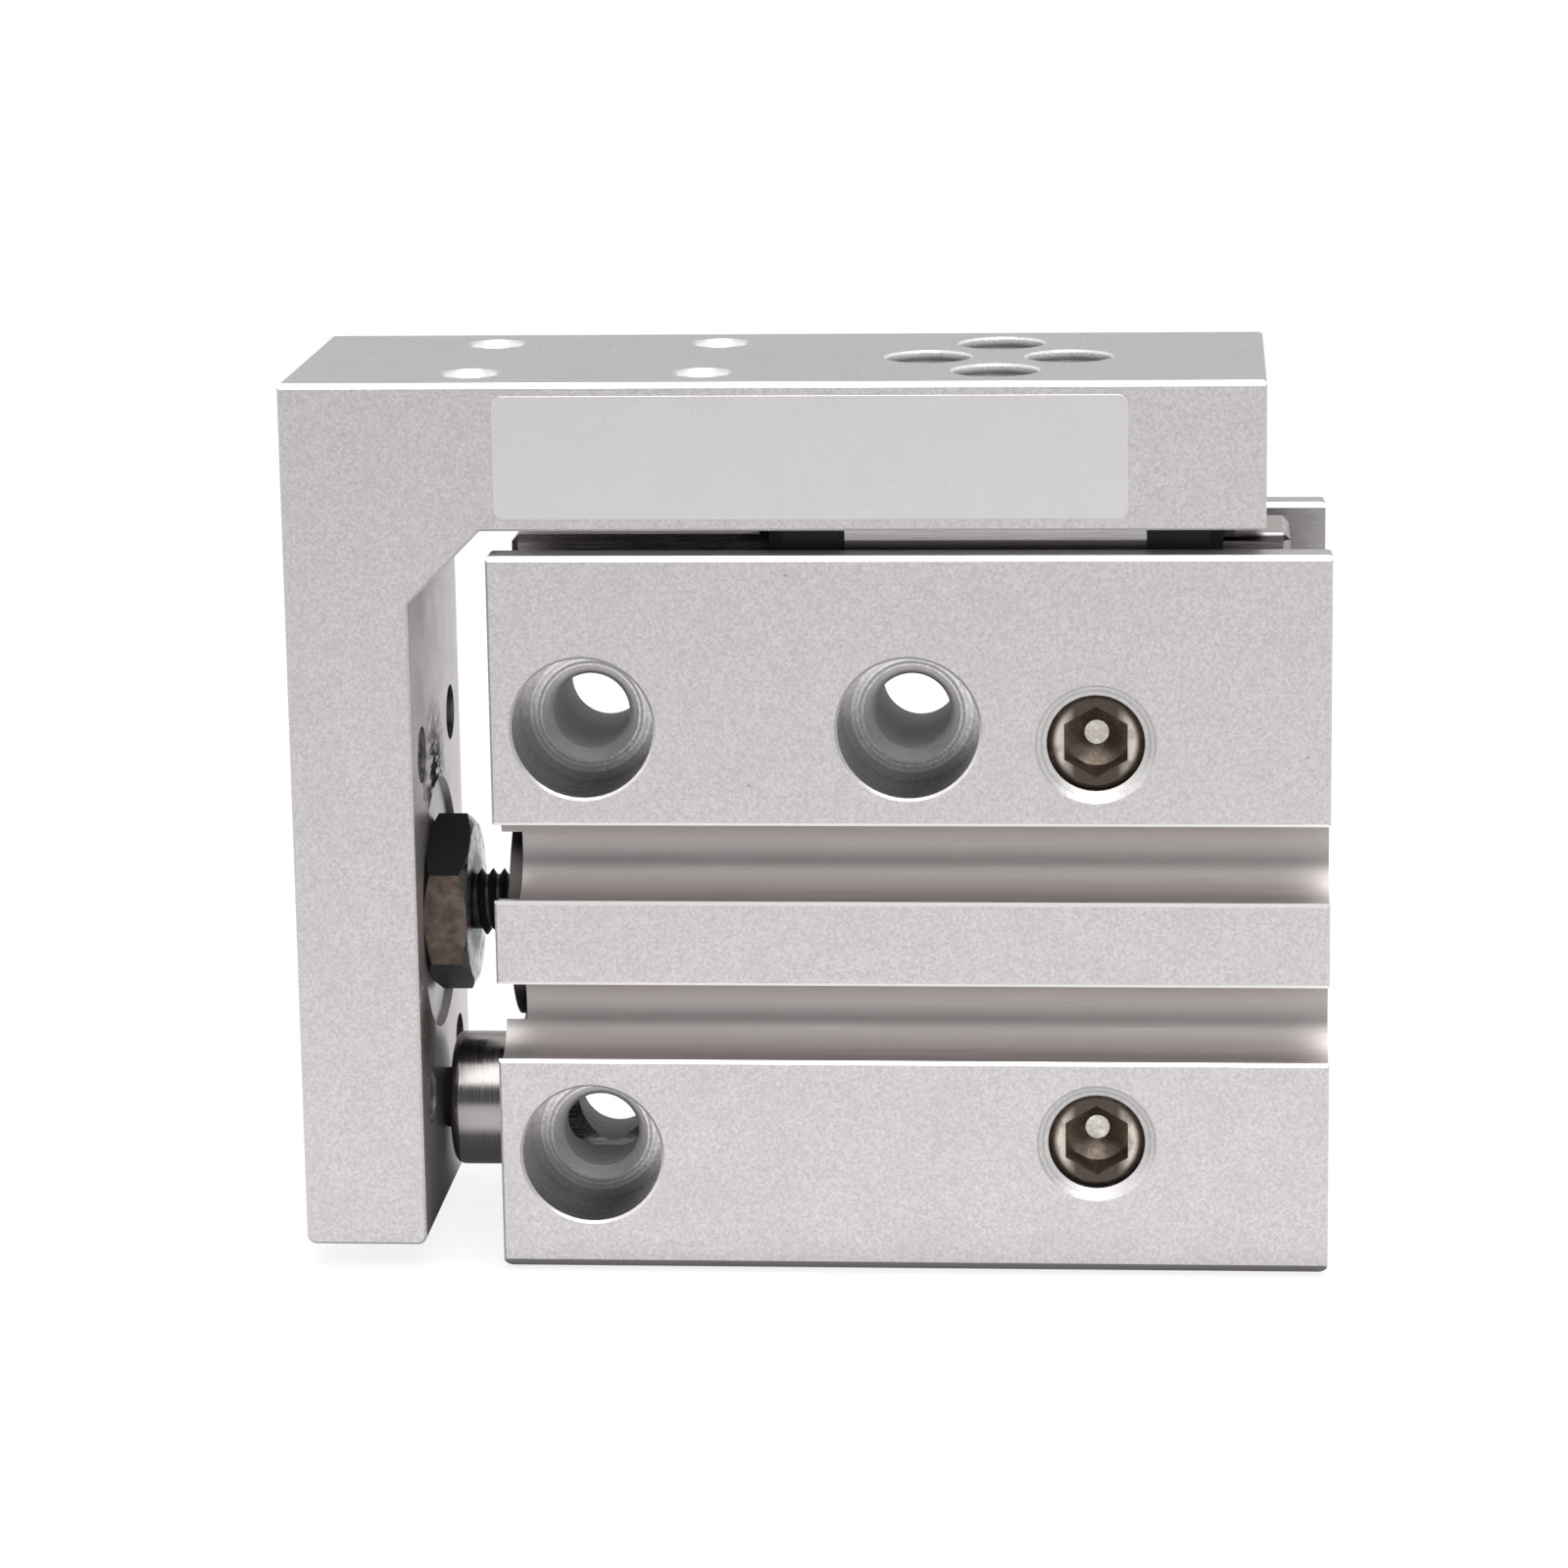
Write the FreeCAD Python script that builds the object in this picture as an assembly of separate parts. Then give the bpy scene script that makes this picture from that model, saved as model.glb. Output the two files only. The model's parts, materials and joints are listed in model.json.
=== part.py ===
import FreeCAD, Part
import math
import os

from FreeCAD import Vector

# Compact pneumatic slide: a cylinder block with a recirculating ball guide let into its top,
# and an L-shaped table that the piston rod carries along that guide.
# Sizes are in millimetres. X runs along the stroke with the rod end at -X, the sensor grooves
# face -Y and Z is up. The origin is the middle of the housing's bottom face, and the table
# is drawn fully retracted.

# Housing block
body_length = 36.0
body_width = 15.0
body_height = 31.7
edge_chamfer = 0.22
edge_break = 0.1
corner_radius = 0.2
foot_radius = 0.4
base_chamfer = 0.4

# Cylinder
bore_height = 14.7
bore_diameter = 6.0
stroke = 5.0
rod_diameter = 3.0

# Guide channel in the top of the housing
channel_depth = 3.65

# Sensor grooves along the front face
groove_radius = 2.0
groove_opening = 3.15
groove_pitch = 7.1
groove_lip_break = 0.25

# Side mounting holes, counterbored from the front and from the back
mount_hole_diameter = 3.35
mount_hole_chamfer = 0.45
counterbore_diameter = 6.1
counterbore_depth = 3.4
counterbore_chamfer = 0.12
mount_inset = 4.0
mount_pitch_x = 14.0
mount_pitch_z = 19.0

# Tapped holes, drawn at their core diameter
m3_core_diameter = 2.5
m3_chamfer = 0.1
m5_core_diameter = 4.2
m5_chamfer = 0.5
m5_chamfer_depth = 0.28
thread_clearance = 0.02
base_hole_depth = 4.5
base_hole_inset = 5.0
base_hole_pitch = 20.0

# Air ports, their plugs and the drilled passages behind them
port_inset = 10.0
port_pitch = 17.7
port_depth = 5.5
port_core_diameter = 3.0
plug_length = 4.0
plug_recess = 0.5
plug_chamfer = 0.2
plug_socket = 2.7
plug_socket_depth = 1.6
plug_tip_diameter = 1.05
plug_tip_depth = 0.5
passage_diameter = 1.2
passage_plug_diameter = 1.6
passage_plug_length = 1.2
press_clearance = 0.01

# Rod cover at the rod end
seat_diameter = 8.0
seat_clearance = 0.02
recess_diameter = 12.2
recess_depth = 0.9
flange_diameter = 10.0
flange_thickness = 0.6
rod_clearance = 0.03
rod_seal_inset = 1.2
rod_seal_width = 2.4
rod_seal_depth = 1.1
rod_bumper_length = 1.2
ring_section = 0.8
ring_slack = 0.02
ring_sides = 8
ring_groove_width = 1.1

# Head cap at the head end
cap_length = 3.6
cap_recess = 1.8
snap_ring_thickness = 0.6
snap_ring_width = 0.8
snap_groove_depth = 0.4
snap_ring_gap = 40.0
snap_lug_radius = 0.75
snap_lug_hole = 0.7
head_bumper_length = 0.8
bumper_clearance = 0.4

# Piston
piston_length = 10.0
piston_clearance = 0.05
piston_end_gap = 0.1
piston_bore = 2.0
skirt_step = 0.2
seal_inset = 1.6
seal_width = 1.3
seal_depth = 0.95
seal_clearance = 0.03
magnet_inset = 4.2
magnet_length = 3.0
magnet_depth = 1.05
magnet_clearance = 0.05

# Stop between housing and table leg
stop_drop = 9.1
stop_diameter = 6.0
stop_edge_radius = 0.4
stop_shank_length = 1.7
stop_hole_depth = 6.5
stop_bumper_diameter = 2.7
stop_bumper_height = 0.45
stop_stem_diameter = 2.0
stop_stem_length = 1.6
stop_gap = 0.05

# Slide table
table_thickness = 6.35
table_gap = 1.1
table_end_inset = 2.8
table_corner = 3.2
leg_thickness = 5.3
leg_gap = 3.4
leg_ground_gap = 1.0
table_hole_inset = 7.9
table_hole_depth = 5.0
table_hole_pitch_x = 10.0
table_hole_pitch_y = 9.0
leg_hole_pitch_y = 9.0
leg_hole_pitch_z = 15.4
spotface_diameter = 11.2
spotface_depth = 0.3
rod_end_inset = 0.6

# Lock nut on the rod
nut_flats = 7.0
nut_height = 1.9
nut_chamfer_angle = 30.0

# Guide rail
rail_width = 5.0
rail_height = 3.7
rail_length = 33.8
rail_inset = 1.7
rail_chamfer = 0.3
rail_hole_pitch = 15.0
rail_hole_diameter = 2.2
rail_counterbore_diameter = 3.6
rail_counterbore_depth = 0.9
rail_screw_grip = 2.0
rail_screw_head_clearance = 0.05
rail_screw_socket = 1.3
rail_screw_socket_depth = 0.5

# Guide carriage
carriage_inset = 14.3
block_length = 12.9
block_width = 10.8
block_side_gap = 0.3
block_floor_gap = 0.8
block_sink = 1.2
block_chamfer = 0.3
slot_side_gap = 0.25
slot_top_gap = 0.2
end_cap_length = 2.7
end_cap_inset = 0.2
end_cap_slot_gap = 0.35
end_seal_length = 0.55
end_seal_slot_gap = 0.08
pocket_clearance = 0.05
pocket_corner_radius = 1.0

# Ball circuits
ball_diameter = 1.0
ball_pitch = 1.1
race_drop = 1.2
race_reach = 0.12
race_clearance = 0.03
return_wall = 0.52
return_clearance = 0.06

# Screws of the carriage
m2_diameter = 2.0
table_screw_pitch_x = 6.1
table_screw_pitch_y = 8.2
table_screw_head_diameter = 3.5
table_screw_head_height = 2.0
table_screw_socket = 1.5
table_screw_socket_depth = 1.0
table_counterbore_diameter = 3.7
table_counterbore_chamfer = 0.1
table_screw_sink = 0.4
table_screw_tip_gap = 0.15
cap_screw_diameter = 1.0
cap_screw_head_diameter = 1.7
cap_screw_head_height = 0.5
cap_screw_socket = 0.9
cap_screw_socket_depth = 0.3
cap_screw_grip = 2.2
cap_screw_spread = 7.2
cap_screw_drop = 1.3

# Overshoot of cutting tools past the faces they open
cut_margin = 0.5

# Planes and centres that follow from the sizes above
x_rod_face = -body_length / 2
x_head_face = body_length / 2
y_front = -body_width / 2
y_back = body_width / 2
x_recess_floor = x_rod_face + recess_depth
x_cap_outer = x_head_face - cap_recess
x_cap_inner = x_cap_outer - cap_length
x_piston_head = x_cap_inner - head_bumper_length - piston_end_gap
x_piston_rod = x_piston_head - piston_length
x_rod_bumper = x_piston_rod - stroke - piston_end_gap
x_cover_inner = x_rod_bumper - rod_bumper_length
x_rod_passage = x_rod_bumper + passage_diameter / 2
x_port = x_head_face - port_inset
x_leg_inner = x_rod_face - leg_gap
x_leg_outer = x_leg_inner - leg_thickness
x_table_end = x_head_face - table_end_inset
x_nut_seat = x_leg_inner - spotface_depth
x_carriage = x_head_face - carriage_inset
z_channel_floor = body_height - channel_depth
z_rail_top = z_channel_floor + rail_height
z_table_under = body_height + table_gap
z_table_top = z_table_under + table_thickness
z_block_top = z_table_under + block_sink
z_stop = bore_height - stop_drop
channel_width = block_width + 2 * block_side_gap
race_y = rail_width / 2 + race_reach
race_z = z_rail_top - race_drop
return_y = block_width / 2 - return_wall - return_clearance - ball_diameter / 2
return_offset = return_y - race_y
ports_z = [bore_height + port_pitch / 2, bore_height - port_pitch / 2]

toward_head = Vector(1, 0, 0)
toward_rod = Vector(-1, 0, 0)
toward_back = Vector(0, 1, 0)
toward_front = Vector(0, -1, 0)
upward = Vector(0, 0, 1)
downward = Vector(0, 0, -1)


def block(x, y, z):
    """Box between the (low, high) pairs x, y and z."""
    return Part.makeBox(x[1] - x[0], y[1] - y[0], z[1] - z[0], Vector(x[0], y[0], z[0]))


def bar(diameter, start, direction, length):
    """Round bar from a point along a direction."""
    return Part.makeCylinder(diameter / 2, length, start, direction)


def hole(diameter, mouth, direction, depth, chamfer=0.0, chamfer_depth=None):
    """Cutting tool for a round hole that starts at its mouth, with an optional chamfered rim."""
    tool = bar(diameter, mouth - direction * cut_margin, direction, depth + cut_margin)
    if chamfer > 0:
        rim_depth = chamfer_depth or chamfer
        tool = tool.fuse(Part.makeCone(diameter / 2 + chamfer, diameter / 2, rim_depth, mouth, direction))
    return tool


def hexagon(flats, start, direction, length, turn=0.0):
    """Hexagonal prism from a point along a direction, turned about it by an angle in degrees."""
    corner_radius = flats / math.sqrt(3)
    corners = []
    for index in range(7):
        angle = math.radians(60 * index + turn)
        corners.append(Vector(corner_radius * math.cos(angle), corner_radius * math.sin(angle), 0))
    prism = Part.Face(Part.makePolygon(corners)).extrude(upward * length)
    prism.Placement = FreeCAD.Placement(start, FreeCAD.Rotation(upward, direction))
    return prism


def turned(profile, height):
    """Solid turned about the line Y = 0, Z = height from (x, radius) corners."""
    corners = [Vector(x, 0, height + radius) for x, radius in profile]
    face = Part.Face(Part.makePolygon(corners + corners[:1]))
    return face.revolve(Vector(0, 0, height), toward_head, 360)


def along_x(outline, x_low, x_high):
    """Prism along X from a closed outline of (y, z) corners."""
    corners = [Vector(x_low, y, z) for y, z in outline]
    return Part.Face(Part.makePolygon(corners + corners[:1])).extrude(toward_head * (x_high - x_low))


def along_y(outline, y_low, y_high):
    """Prism along Y from a closed outline of (x, z) corners."""
    corners = [Vector(x, y_low, z) for x, z in outline]
    return Part.Face(Part.makePolygon(corners + corners[:1])).extrude(toward_back * (y_high - y_low))


def softened(prism, sharp_points=()):
    """Prism along Y with rounded corners, wider at the foot, and with its front and back outlines broken."""
    corners = [edge for edge in prism.Edges if edge.BoundBox.YLength > body_width / 2
               and all(edge.CenterOfMass.distanceToPoint(point) > corner_radius for point in sharp_points)]
    z_foot = prism.BoundBox.ZMin + foot_radius
    feet = [edge for edge in corners if edge.CenterOfMass.z < z_foot]
    others = [edge for edge in corners if edge.CenterOfMass.z > z_foot]
    rounded = prism.makeFillet(corner_radius, others)
    places = [edge.CenterOfMass for edge in feet]
    feet = [edge for edge in rounded.Edges
            if any(edge.CenterOfMass.isEqual(place, edge_break) for place in places)]
    rounded = rounded.makeFillet(foot_radius, feet)
    outlines = [edge for edge in rounded.Edges
                if abs(edge.BoundBox.YMax - edge.BoundBox.YMin) < edge_break]
    return rounded.makeChamfer(edge_break, outlines)


def long_edge_tools(x, z_face, inward, chamfer):
    """Tools that chamfer the front and back edges of a level face; inward is +1 or -1 along Z."""
    reach = chamfer + cut_margin
    tools = []
    for y_face, y_inward in ((y_front, 1), (y_back, -1)):
        y_out = y_face - y_inward * cut_margin
        z_out = z_face - inward * cut_margin
        outline = [(y_out, z_out), (y_out, z_face + inward * reach), (y_face + y_inward * reach, z_out)]
        tools.append(along_x(outline, x[0] - cut_margin, x[1] + cut_margin))
    return tools


def corners_of(centre, pitch_a, pitch_b, axis_a, axis_b):
    """The four corners of a rectangular hole pattern about its centre."""
    steps = [(1, 1), (1, -1), (-1, -1), (-1, 1)]
    return [centre + axis_a * (a * pitch_a / 2) + axis_b * (b * pitch_b / 2) for a, b in steps]


def diamond_of(centre, pitch_a, pitch_b, axis_a, axis_b):
    """The four points of a diamond hole pattern about its centre."""
    steps = [(1, 0), (0, 1), (-1, 0), (0, -1)]
    return [centre + axis_a * (a * pitch_a / 2) + axis_b * (b * pitch_b / 2) for a, b in steps]


def seal_ring(x_middle, outer_radius, height):
    """Ring seal with a rounded section that fills its groove below the outer radius, less some slack."""
    reach = ring_section / 2 - ring_slack
    middle = outer_radius - ring_section / 2
    angles = [math.radians(360 * (index + 0.5) / ring_sides) for index in range(ring_sides)]
    scale = reach / math.cos(math.pi / ring_sides)
    return turned([(x_middle + scale * math.cos(a), middle + scale * math.sin(a)) for a in angles], height)


mount_holes = [
    Vector(x_rod_face + mount_inset, 0, bore_height + mount_pitch_z / 2),
    Vector(x_rod_face + mount_inset + mount_pitch_x, 0, bore_height + mount_pitch_z / 2),
    Vector(x_rod_face + mount_inset, 0, bore_height - mount_pitch_z / 2),
]
rail_middle = x_head_face - rail_inset - rail_length / 2
rail_holes = [Vector(rail_middle + side * rail_hole_pitch / 2, 0, z_rail_top) for side in (-1, 1)]
table_screw_points = diamond_of(
    Vector(x_carriage, 0, z_table_top), table_screw_pitch_x, table_screw_pitch_y, toward_head, toward_back)
head_plug_mouth = Vector(x_head_face, 0, ports_z[1])
base_plug_mouth = Vector(x_rod_passage, 0, 0)


def mounting_hole_tool(point):
    """Through hole along Y with a chamfered edge and a counterbore from each side."""
    tools = [bar(mount_hole_diameter, Vector(point.x, y_front, point.z), toward_back, body_width)]
    for y_face, inward in ((y_front, toward_back), (y_back, toward_front)):
        mouth = Vector(point.x, y_face, point.z)
        tools.append(hole(counterbore_diameter, mouth, inward, counterbore_depth, counterbore_chamfer))
        floor = mouth + inward * counterbore_depth
        wide = mount_hole_diameter / 2 + mount_hole_chamfer
        tools.append(Part.makeCone(wide, mount_hole_diameter / 2, mount_hole_chamfer, floor, inward))
    return tools


def bore_tools():
    """The stepped bore, from the rod end's recess to the head cap's seat and its ring groove."""
    reach_rod = x_rod_face - cut_margin
    reach_head = x_head_face + cut_margin
    bore = bore_diameter / 2
    seat = seat_diameter / 2
    recess = recess_diameter / 2
    groove = seat + snap_groove_depth
    x_groove_end = x_cap_outer + snap_ring_thickness
    profile = [
        (reach_rod, 0), (reach_rod, recess), (x_recess_floor, recess), (x_recess_floor, seat),
        (x_cover_inner, seat), (x_cover_inner, bore), (x_cap_inner, bore), (x_cap_inner, seat),
        (x_cap_outer, seat), (x_cap_outer, groove), (x_groove_end, groove), (x_groove_end, seat),
        (reach_head, seat), (reach_head, 0),
    ]
    return [turned(profile, bore_height)]


def port_tools():
    """Both threaded ports, open to front and back, with the passages that lead to the bore."""
    tools = []
    for z in ports_z:
        for y_face, inward in ((y_front, toward_back), (y_back, toward_front)):
            mouth = Vector(x_port, y_face, z)
            tools.append(hole(m5_core_diameter, mouth, inward, port_depth, m5_chamfer, m5_chamfer_depth))
            tools.append(bar(port_core_diameter, mouth, inward, body_width / 2))
    head_passage = Vector(x_port, 0, bore_height)
    tools.append(bar(passage_diameter, head_passage, upward, port_pitch / 2))
    tools.append(hole(passage_diameter, head_plug_mouth, toward_rod, x_head_face - x_rod_passage))
    tools.append(hole(passage_diameter, base_plug_mouth, upward, bore_height))
    tools.append(hole(passage_plug_diameter, head_plug_mouth, toward_rod, passage_plug_length))
    tools.append(hole(passage_plug_diameter, base_plug_mouth, upward, passage_plug_length))
    return tools


def channel_tool():
    """U channel for the guide, with chamfered mouth edges."""
    half = channel_width / 2
    z_top = body_height + cut_margin
    z_break = body_height - edge_chamfer
    wide = half + edge_chamfer
    outline = [
        (-half, z_channel_floor), (half, z_channel_floor), (half, z_break), (wide, body_height),
        (wide, z_top), (-wide, z_top), (-wide, body_height), (-half, z_break),
    ]
    return along_x(outline, x_rod_face - cut_margin, x_head_face + cut_margin)


def groove_tools():
    """Round sensor grooves whose mouths are narrower than the grooves, with broken lips."""
    half = groove_opening / 2
    y_centre = y_front + math.sqrt(groove_radius ** 2 - half ** 2)
    wide = half + groove_lip_break + cut_margin
    x_low = x_rod_face - cut_margin
    x_high = x_head_face + cut_margin
    tools = []
    for side in (-1, 1):
        z = bore_height + side * groove_pitch / 2
        tools.append(bar(2 * groove_radius, Vector(x_low, y_centre, z), toward_head, x_high - x_low))
        mouth = [
            (y_front - cut_margin, z - wide), (y_front + groove_lip_break, z - half),
            (y_front + groove_lip_break, z + half), (y_front - cut_margin, z + wide),
        ]
        tools.append(along_x(mouth, x_low, x_high))
    return tools


def make_housing():
    """Cylinder block with its channel, grooves, bore, ports and mounting holes."""
    shell = softened(block((x_rod_face, x_head_face), (y_front, y_back), (0, body_height)))
    tools = [channel_tool()] + groove_tools() + bore_tools() + port_tools()
    tools += long_edge_tools((x_rod_face, x_head_face), body_height, -1, edge_chamfer)
    tools += long_edge_tools((x_rod_face, x_head_face), 0, 1, base_chamfer)
    for point in mount_holes:
        tools += mounting_hole_tool(point)
    for step in (0, 1):
        mouth = Vector(x_head_face - base_hole_inset - step * base_hole_pitch, 0, 0)
        tools.append(hole(m3_core_diameter, mouth, upward, base_hole_depth, m3_chamfer))
    for point in rail_holes:
        mouth = Vector(point.x, 0, z_channel_floor)
        tools.append(hole(m2_diameter, mouth, downward, rail_screw_grip + thread_clearance))
    tools.append(hole(m5_core_diameter, Vector(x_rod_face, 0, z_stop), toward_head, stop_hole_depth))
    return shell.cut(tools).removeSplitter()


def make_port_plug(z):
    """Socket plug screwed in just below the front face."""
    y_outer = y_front + plug_recess
    diameter = m5_core_diameter - 2 * thread_clearance
    plug = bar(diameter, Vector(x_port, y_outer, z), toward_back, plug_length)
    rims = [edge for edge in plug.Edges if isinstance(edge.Curve, Part.Circle)]
    plug = plug.makeChamfer(plug_chamfer, rims)
    socket_start = Vector(x_port, y_outer - cut_margin, z)
    socket = hexagon(plug_socket, socket_start, toward_back, plug_socket_depth + cut_margin, 30)
    floor = Vector(x_port, y_outer + plug_socket_depth, z)
    tip = Part.makeCone(plug_socket / 2, plug_tip_diameter / 2, plug_tip_depth, floor, toward_back)
    return plug.cut([socket, tip])


def make_passage_plugs():
    """Plugs pressed flush into the ends of the two drilled passages."""
    diameter = passage_plug_diameter - 2 * press_clearance
    head_plug = bar(diameter, head_plug_mouth, toward_rod, passage_plug_length)
    base_plug = bar(diameter, base_plug_mouth, upward, passage_plug_length)
    return Part.makeCompound([head_plug, base_plug])


def make_rod_cover():
    """Flanged bush that closes the rod end, with a seal groove outside and inside."""
    inner = rod_diameter / 2 + rod_clearance
    outer = seat_diameter / 2 - seat_clearance
    flange = flange_diameter / 2
    x_face = x_recess_floor - flange_thickness
    x_ring = (x_recess_floor + x_cover_inner) / 2
    ring_floor = seat_diameter / 2 - ring_section
    x_seal = x_face + rod_seal_inset
    profile = [
        (x_face, inner), (x_face, flange), (x_recess_floor, flange), (x_recess_floor, outer),
        (x_ring - ring_groove_width / 2, outer), (x_ring - ring_groove_width / 2, ring_floor),
        (x_ring + ring_groove_width / 2, ring_floor), (x_ring + ring_groove_width / 2, outer),
        (x_cover_inner, outer), (x_cover_inner, inner),
        (x_seal + rod_seal_width, inner), (x_seal + rod_seal_width, inner + rod_seal_depth),
        (x_seal, inner + rod_seal_depth), (x_seal, inner),
    ]
    return turned(profile, bore_height)


def make_rod_cover_ring():
    """Ring seal round the rod cover."""
    return seal_ring((x_recess_floor + x_cover_inner) / 2, seat_diameter / 2, bore_height)


def make_rod_seal():
    """Lipped seal round the rod, with its open side to the pressure."""
    x_back = x_recess_floor - flange_thickness + rod_seal_inset + ring_slack
    x_lip = x_back + rod_seal_width - 2 * ring_slack
    inner = rod_diameter / 2 + rod_clearance
    outer = inner + rod_seal_depth - ring_slack
    valley = (x_lip - rod_seal_width / 2, (inner + outer) / 2)
    return turned([(x_back, inner), (x_back, outer), (x_lip, outer), valley, (x_lip, inner)], bore_height)


def make_rod_bumper():
    """Cushion ring on the rod cover's inner face."""
    inner = rod_diameter / 2 + bumper_clearance / 2
    outer = bore_diameter / 2 - bumper_clearance
    profile = [(x_cover_inner, inner), (x_cover_inner, outer), (x_rod_bumper, outer), (x_rod_bumper, inner)]
    return turned(profile, bore_height)


def make_head_cap():
    """Plug that closes the head end, with a groove for its ring seal."""
    outer = seat_diameter / 2 - seat_clearance
    ring_floor = seat_diameter / 2 - ring_section
    x_ring = (x_cap_inner + x_cap_outer) / 2
    profile = [
        (x_cap_inner, 0), (x_cap_inner, outer), (x_ring - ring_groove_width / 2, outer),
        (x_ring - ring_groove_width / 2, ring_floor), (x_ring + ring_groove_width / 2, ring_floor),
        (x_ring + ring_groove_width / 2, outer), (x_cap_outer, outer), (x_cap_outer, 0),
    ]
    return turned(profile, bore_height)


def make_head_cap_ring():
    """Ring seal round the head cap."""
    return seal_ring((x_cap_inner + x_cap_outer) / 2, seat_diameter / 2, bore_height)


def make_head_bumper():
    """Cushion disc on the head cap's inner face."""
    start = Vector(x_cap_inner, 0, bore_height)
    return bar(bore_diameter - 2 * bumper_clearance, start, toward_rod, head_bumper_length)


def make_head_snap_ring():
    """Internal retaining ring with a gap at the bottom and two drilled lugs."""
    outer = seat_diameter / 2 + snap_groove_depth - seat_clearance
    inner = outer - snap_ring_width
    centre = Vector(x_cap_outer, 0, bore_height)
    disc = bar(2 * outer, centre, toward_head, snap_ring_thickness)
    ring = disc.cut(bar(2 * inner, centre, toward_head, snap_ring_thickness))
    half_gap = math.radians(snap_ring_gap / 2)
    wedge = [(0, bore_height)]
    for side in (-1, 1):
        wedge.append((side * 2 * outer * math.sin(half_gap), bore_height - 2 * outer * math.cos(half_gap)))
    ring = ring.cut(along_x(wedge, x_cap_outer, x_cap_outer + snap_ring_thickness))
    lug_angle = half_gap + snap_lug_radius / inner
    for side in (-1, 1):
        reach = Vector(0, side * math.sin(lug_angle), -math.cos(lug_angle)) * inner
        ring = ring.fuse(bar(2 * snap_lug_radius, centre + reach, toward_head, snap_ring_thickness))
        ring = ring.cut(bar(snap_lug_hole, centre + reach, toward_head, snap_ring_thickness))
    return ring.removeSplitter()


def make_stop_bolt():
    """Round stop screwed into the rod end, with a rounded nose and a pocket for its bumper."""
    x_nose = x_leg_inner + stop_gap + stop_bumper_height
    head = bar(stop_diameter, Vector(x_nose, 0, z_stop), toward_head, x_rod_face - x_nose)
    nose = [edge for edge in head.Edges if edge.BoundBox.XMax < x_rod_face]
    head = head.makeFillet(stop_edge_radius, nose)
    shank_diameter = m5_core_diameter - 2 * thread_clearance
    shank = bar(shank_diameter, Vector(x_rod_face, 0, z_stop), toward_head, stop_shank_length)
    pocket = hole(stop_stem_diameter, Vector(x_nose, 0, z_stop), toward_head, stop_stem_length)
    return head.fuse(shank).cut(pocket).removeSplitter()


def make_stop_bumper():
    """Soft button whose stem sits in the stop's nose."""
    x_tip = x_leg_inner + stop_gap
    x_nose = x_tip + stop_bumper_height
    stem = stop_stem_diameter / 2 - press_clearance
    button = stop_bumper_diameter / 2
    profile = [(x_tip, 0), (x_tip, button), (x_nose, button), (x_nose, stem),
               (x_nose + stop_stem_length, stem), (x_nose + stop_stem_length, 0)]
    return turned(profile, z_stop)


def make_guide_rail():
    """Rail with a ball groove in each side, chamfered edges and counterbored screw holes."""
    x_low = rail_middle - rail_length / 2
    half = rail_width / 2
    rail = block((x_low, x_low + rail_length), (-half, half), (z_channel_floor, z_rail_top))
    upper = [edge for edge in rail.Edges if edge.BoundBox.ZMax > z_channel_floor + rail_chamfer]
    rail = rail.makeChamfer(rail_chamfer, upper)
    reach = rail_length + 2 * cut_margin
    tools = []
    for side in (-1, 1):
        start = Vector(x_low - cut_margin, side * race_y, race_z)
        tools.append(bar(ball_diameter + 2 * race_clearance, start, toward_head, reach))
    for point in rail_holes:
        tools.append(hole(rail_counterbore_diameter, point, downward, rail_counterbore_depth))
        tools.append(hole(rail_hole_diameter, point, downward, rail_height + cut_margin))
    return rail.cut(tools).removeSplitter()


def make_rail_screws():
    """Low-head screws that hold the rail on the channel floor."""
    head_diameter = rail_counterbore_diameter - 2 * rail_screw_head_clearance
    head_height = rail_counterbore_depth - rail_screw_head_clearance
    screws = []
    for point in rail_holes:
        seat = point + downward * rail_counterbore_depth
        shank_length = rail_height - rail_counterbore_depth + rail_screw_grip
        shank = bar(m2_diameter - 2 * thread_clearance, seat, downward, shank_length)
        screw = bar(head_diameter, seat, upward, head_height).fuse(shank)
        socket_floor = seat + upward * (head_height - rail_screw_socket_depth)
        screws.append(screw.cut(hexagon(rail_screw_socket, socket_floor, upward, head_height)))
    return Part.makeCompound(screws)


def carriage_outline(inset, slot_gap, z_top):
    """Cross-section of the carriage: an upside-down U over the rail, drawn in by an inset."""
    half = block_width / 2 - inset
    z_bottom = z_channel_floor + block_floor_gap + inset
    slot = rail_width / 2 + slot_gap
    z_slot = z_rail_top + min(slot_gap, slot_top_gap)
    cut = block_chamfer
    return [
        (-half, z_bottom + cut), (-half, z_top - cut), (-half + cut, z_top), (half - cut, z_top),
        (half, z_top - cut), (half, z_bottom + cut), (half - cut, z_bottom), (slot, z_bottom),
        (slot, z_slot), (-slot, z_slot), (-slot, z_bottom), (-half + cut, z_bottom),
    ]


def cap_screw_points(side):
    """Mouths of the end cap screws in one end face of the steel block."""
    x_face = x_carriage + side * block_length / 2
    z = z_block_top - cap_screw_drop
    return [Vector(x_face, y * cap_screw_spread / 2, z) for y in (-1, 1)]


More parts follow.
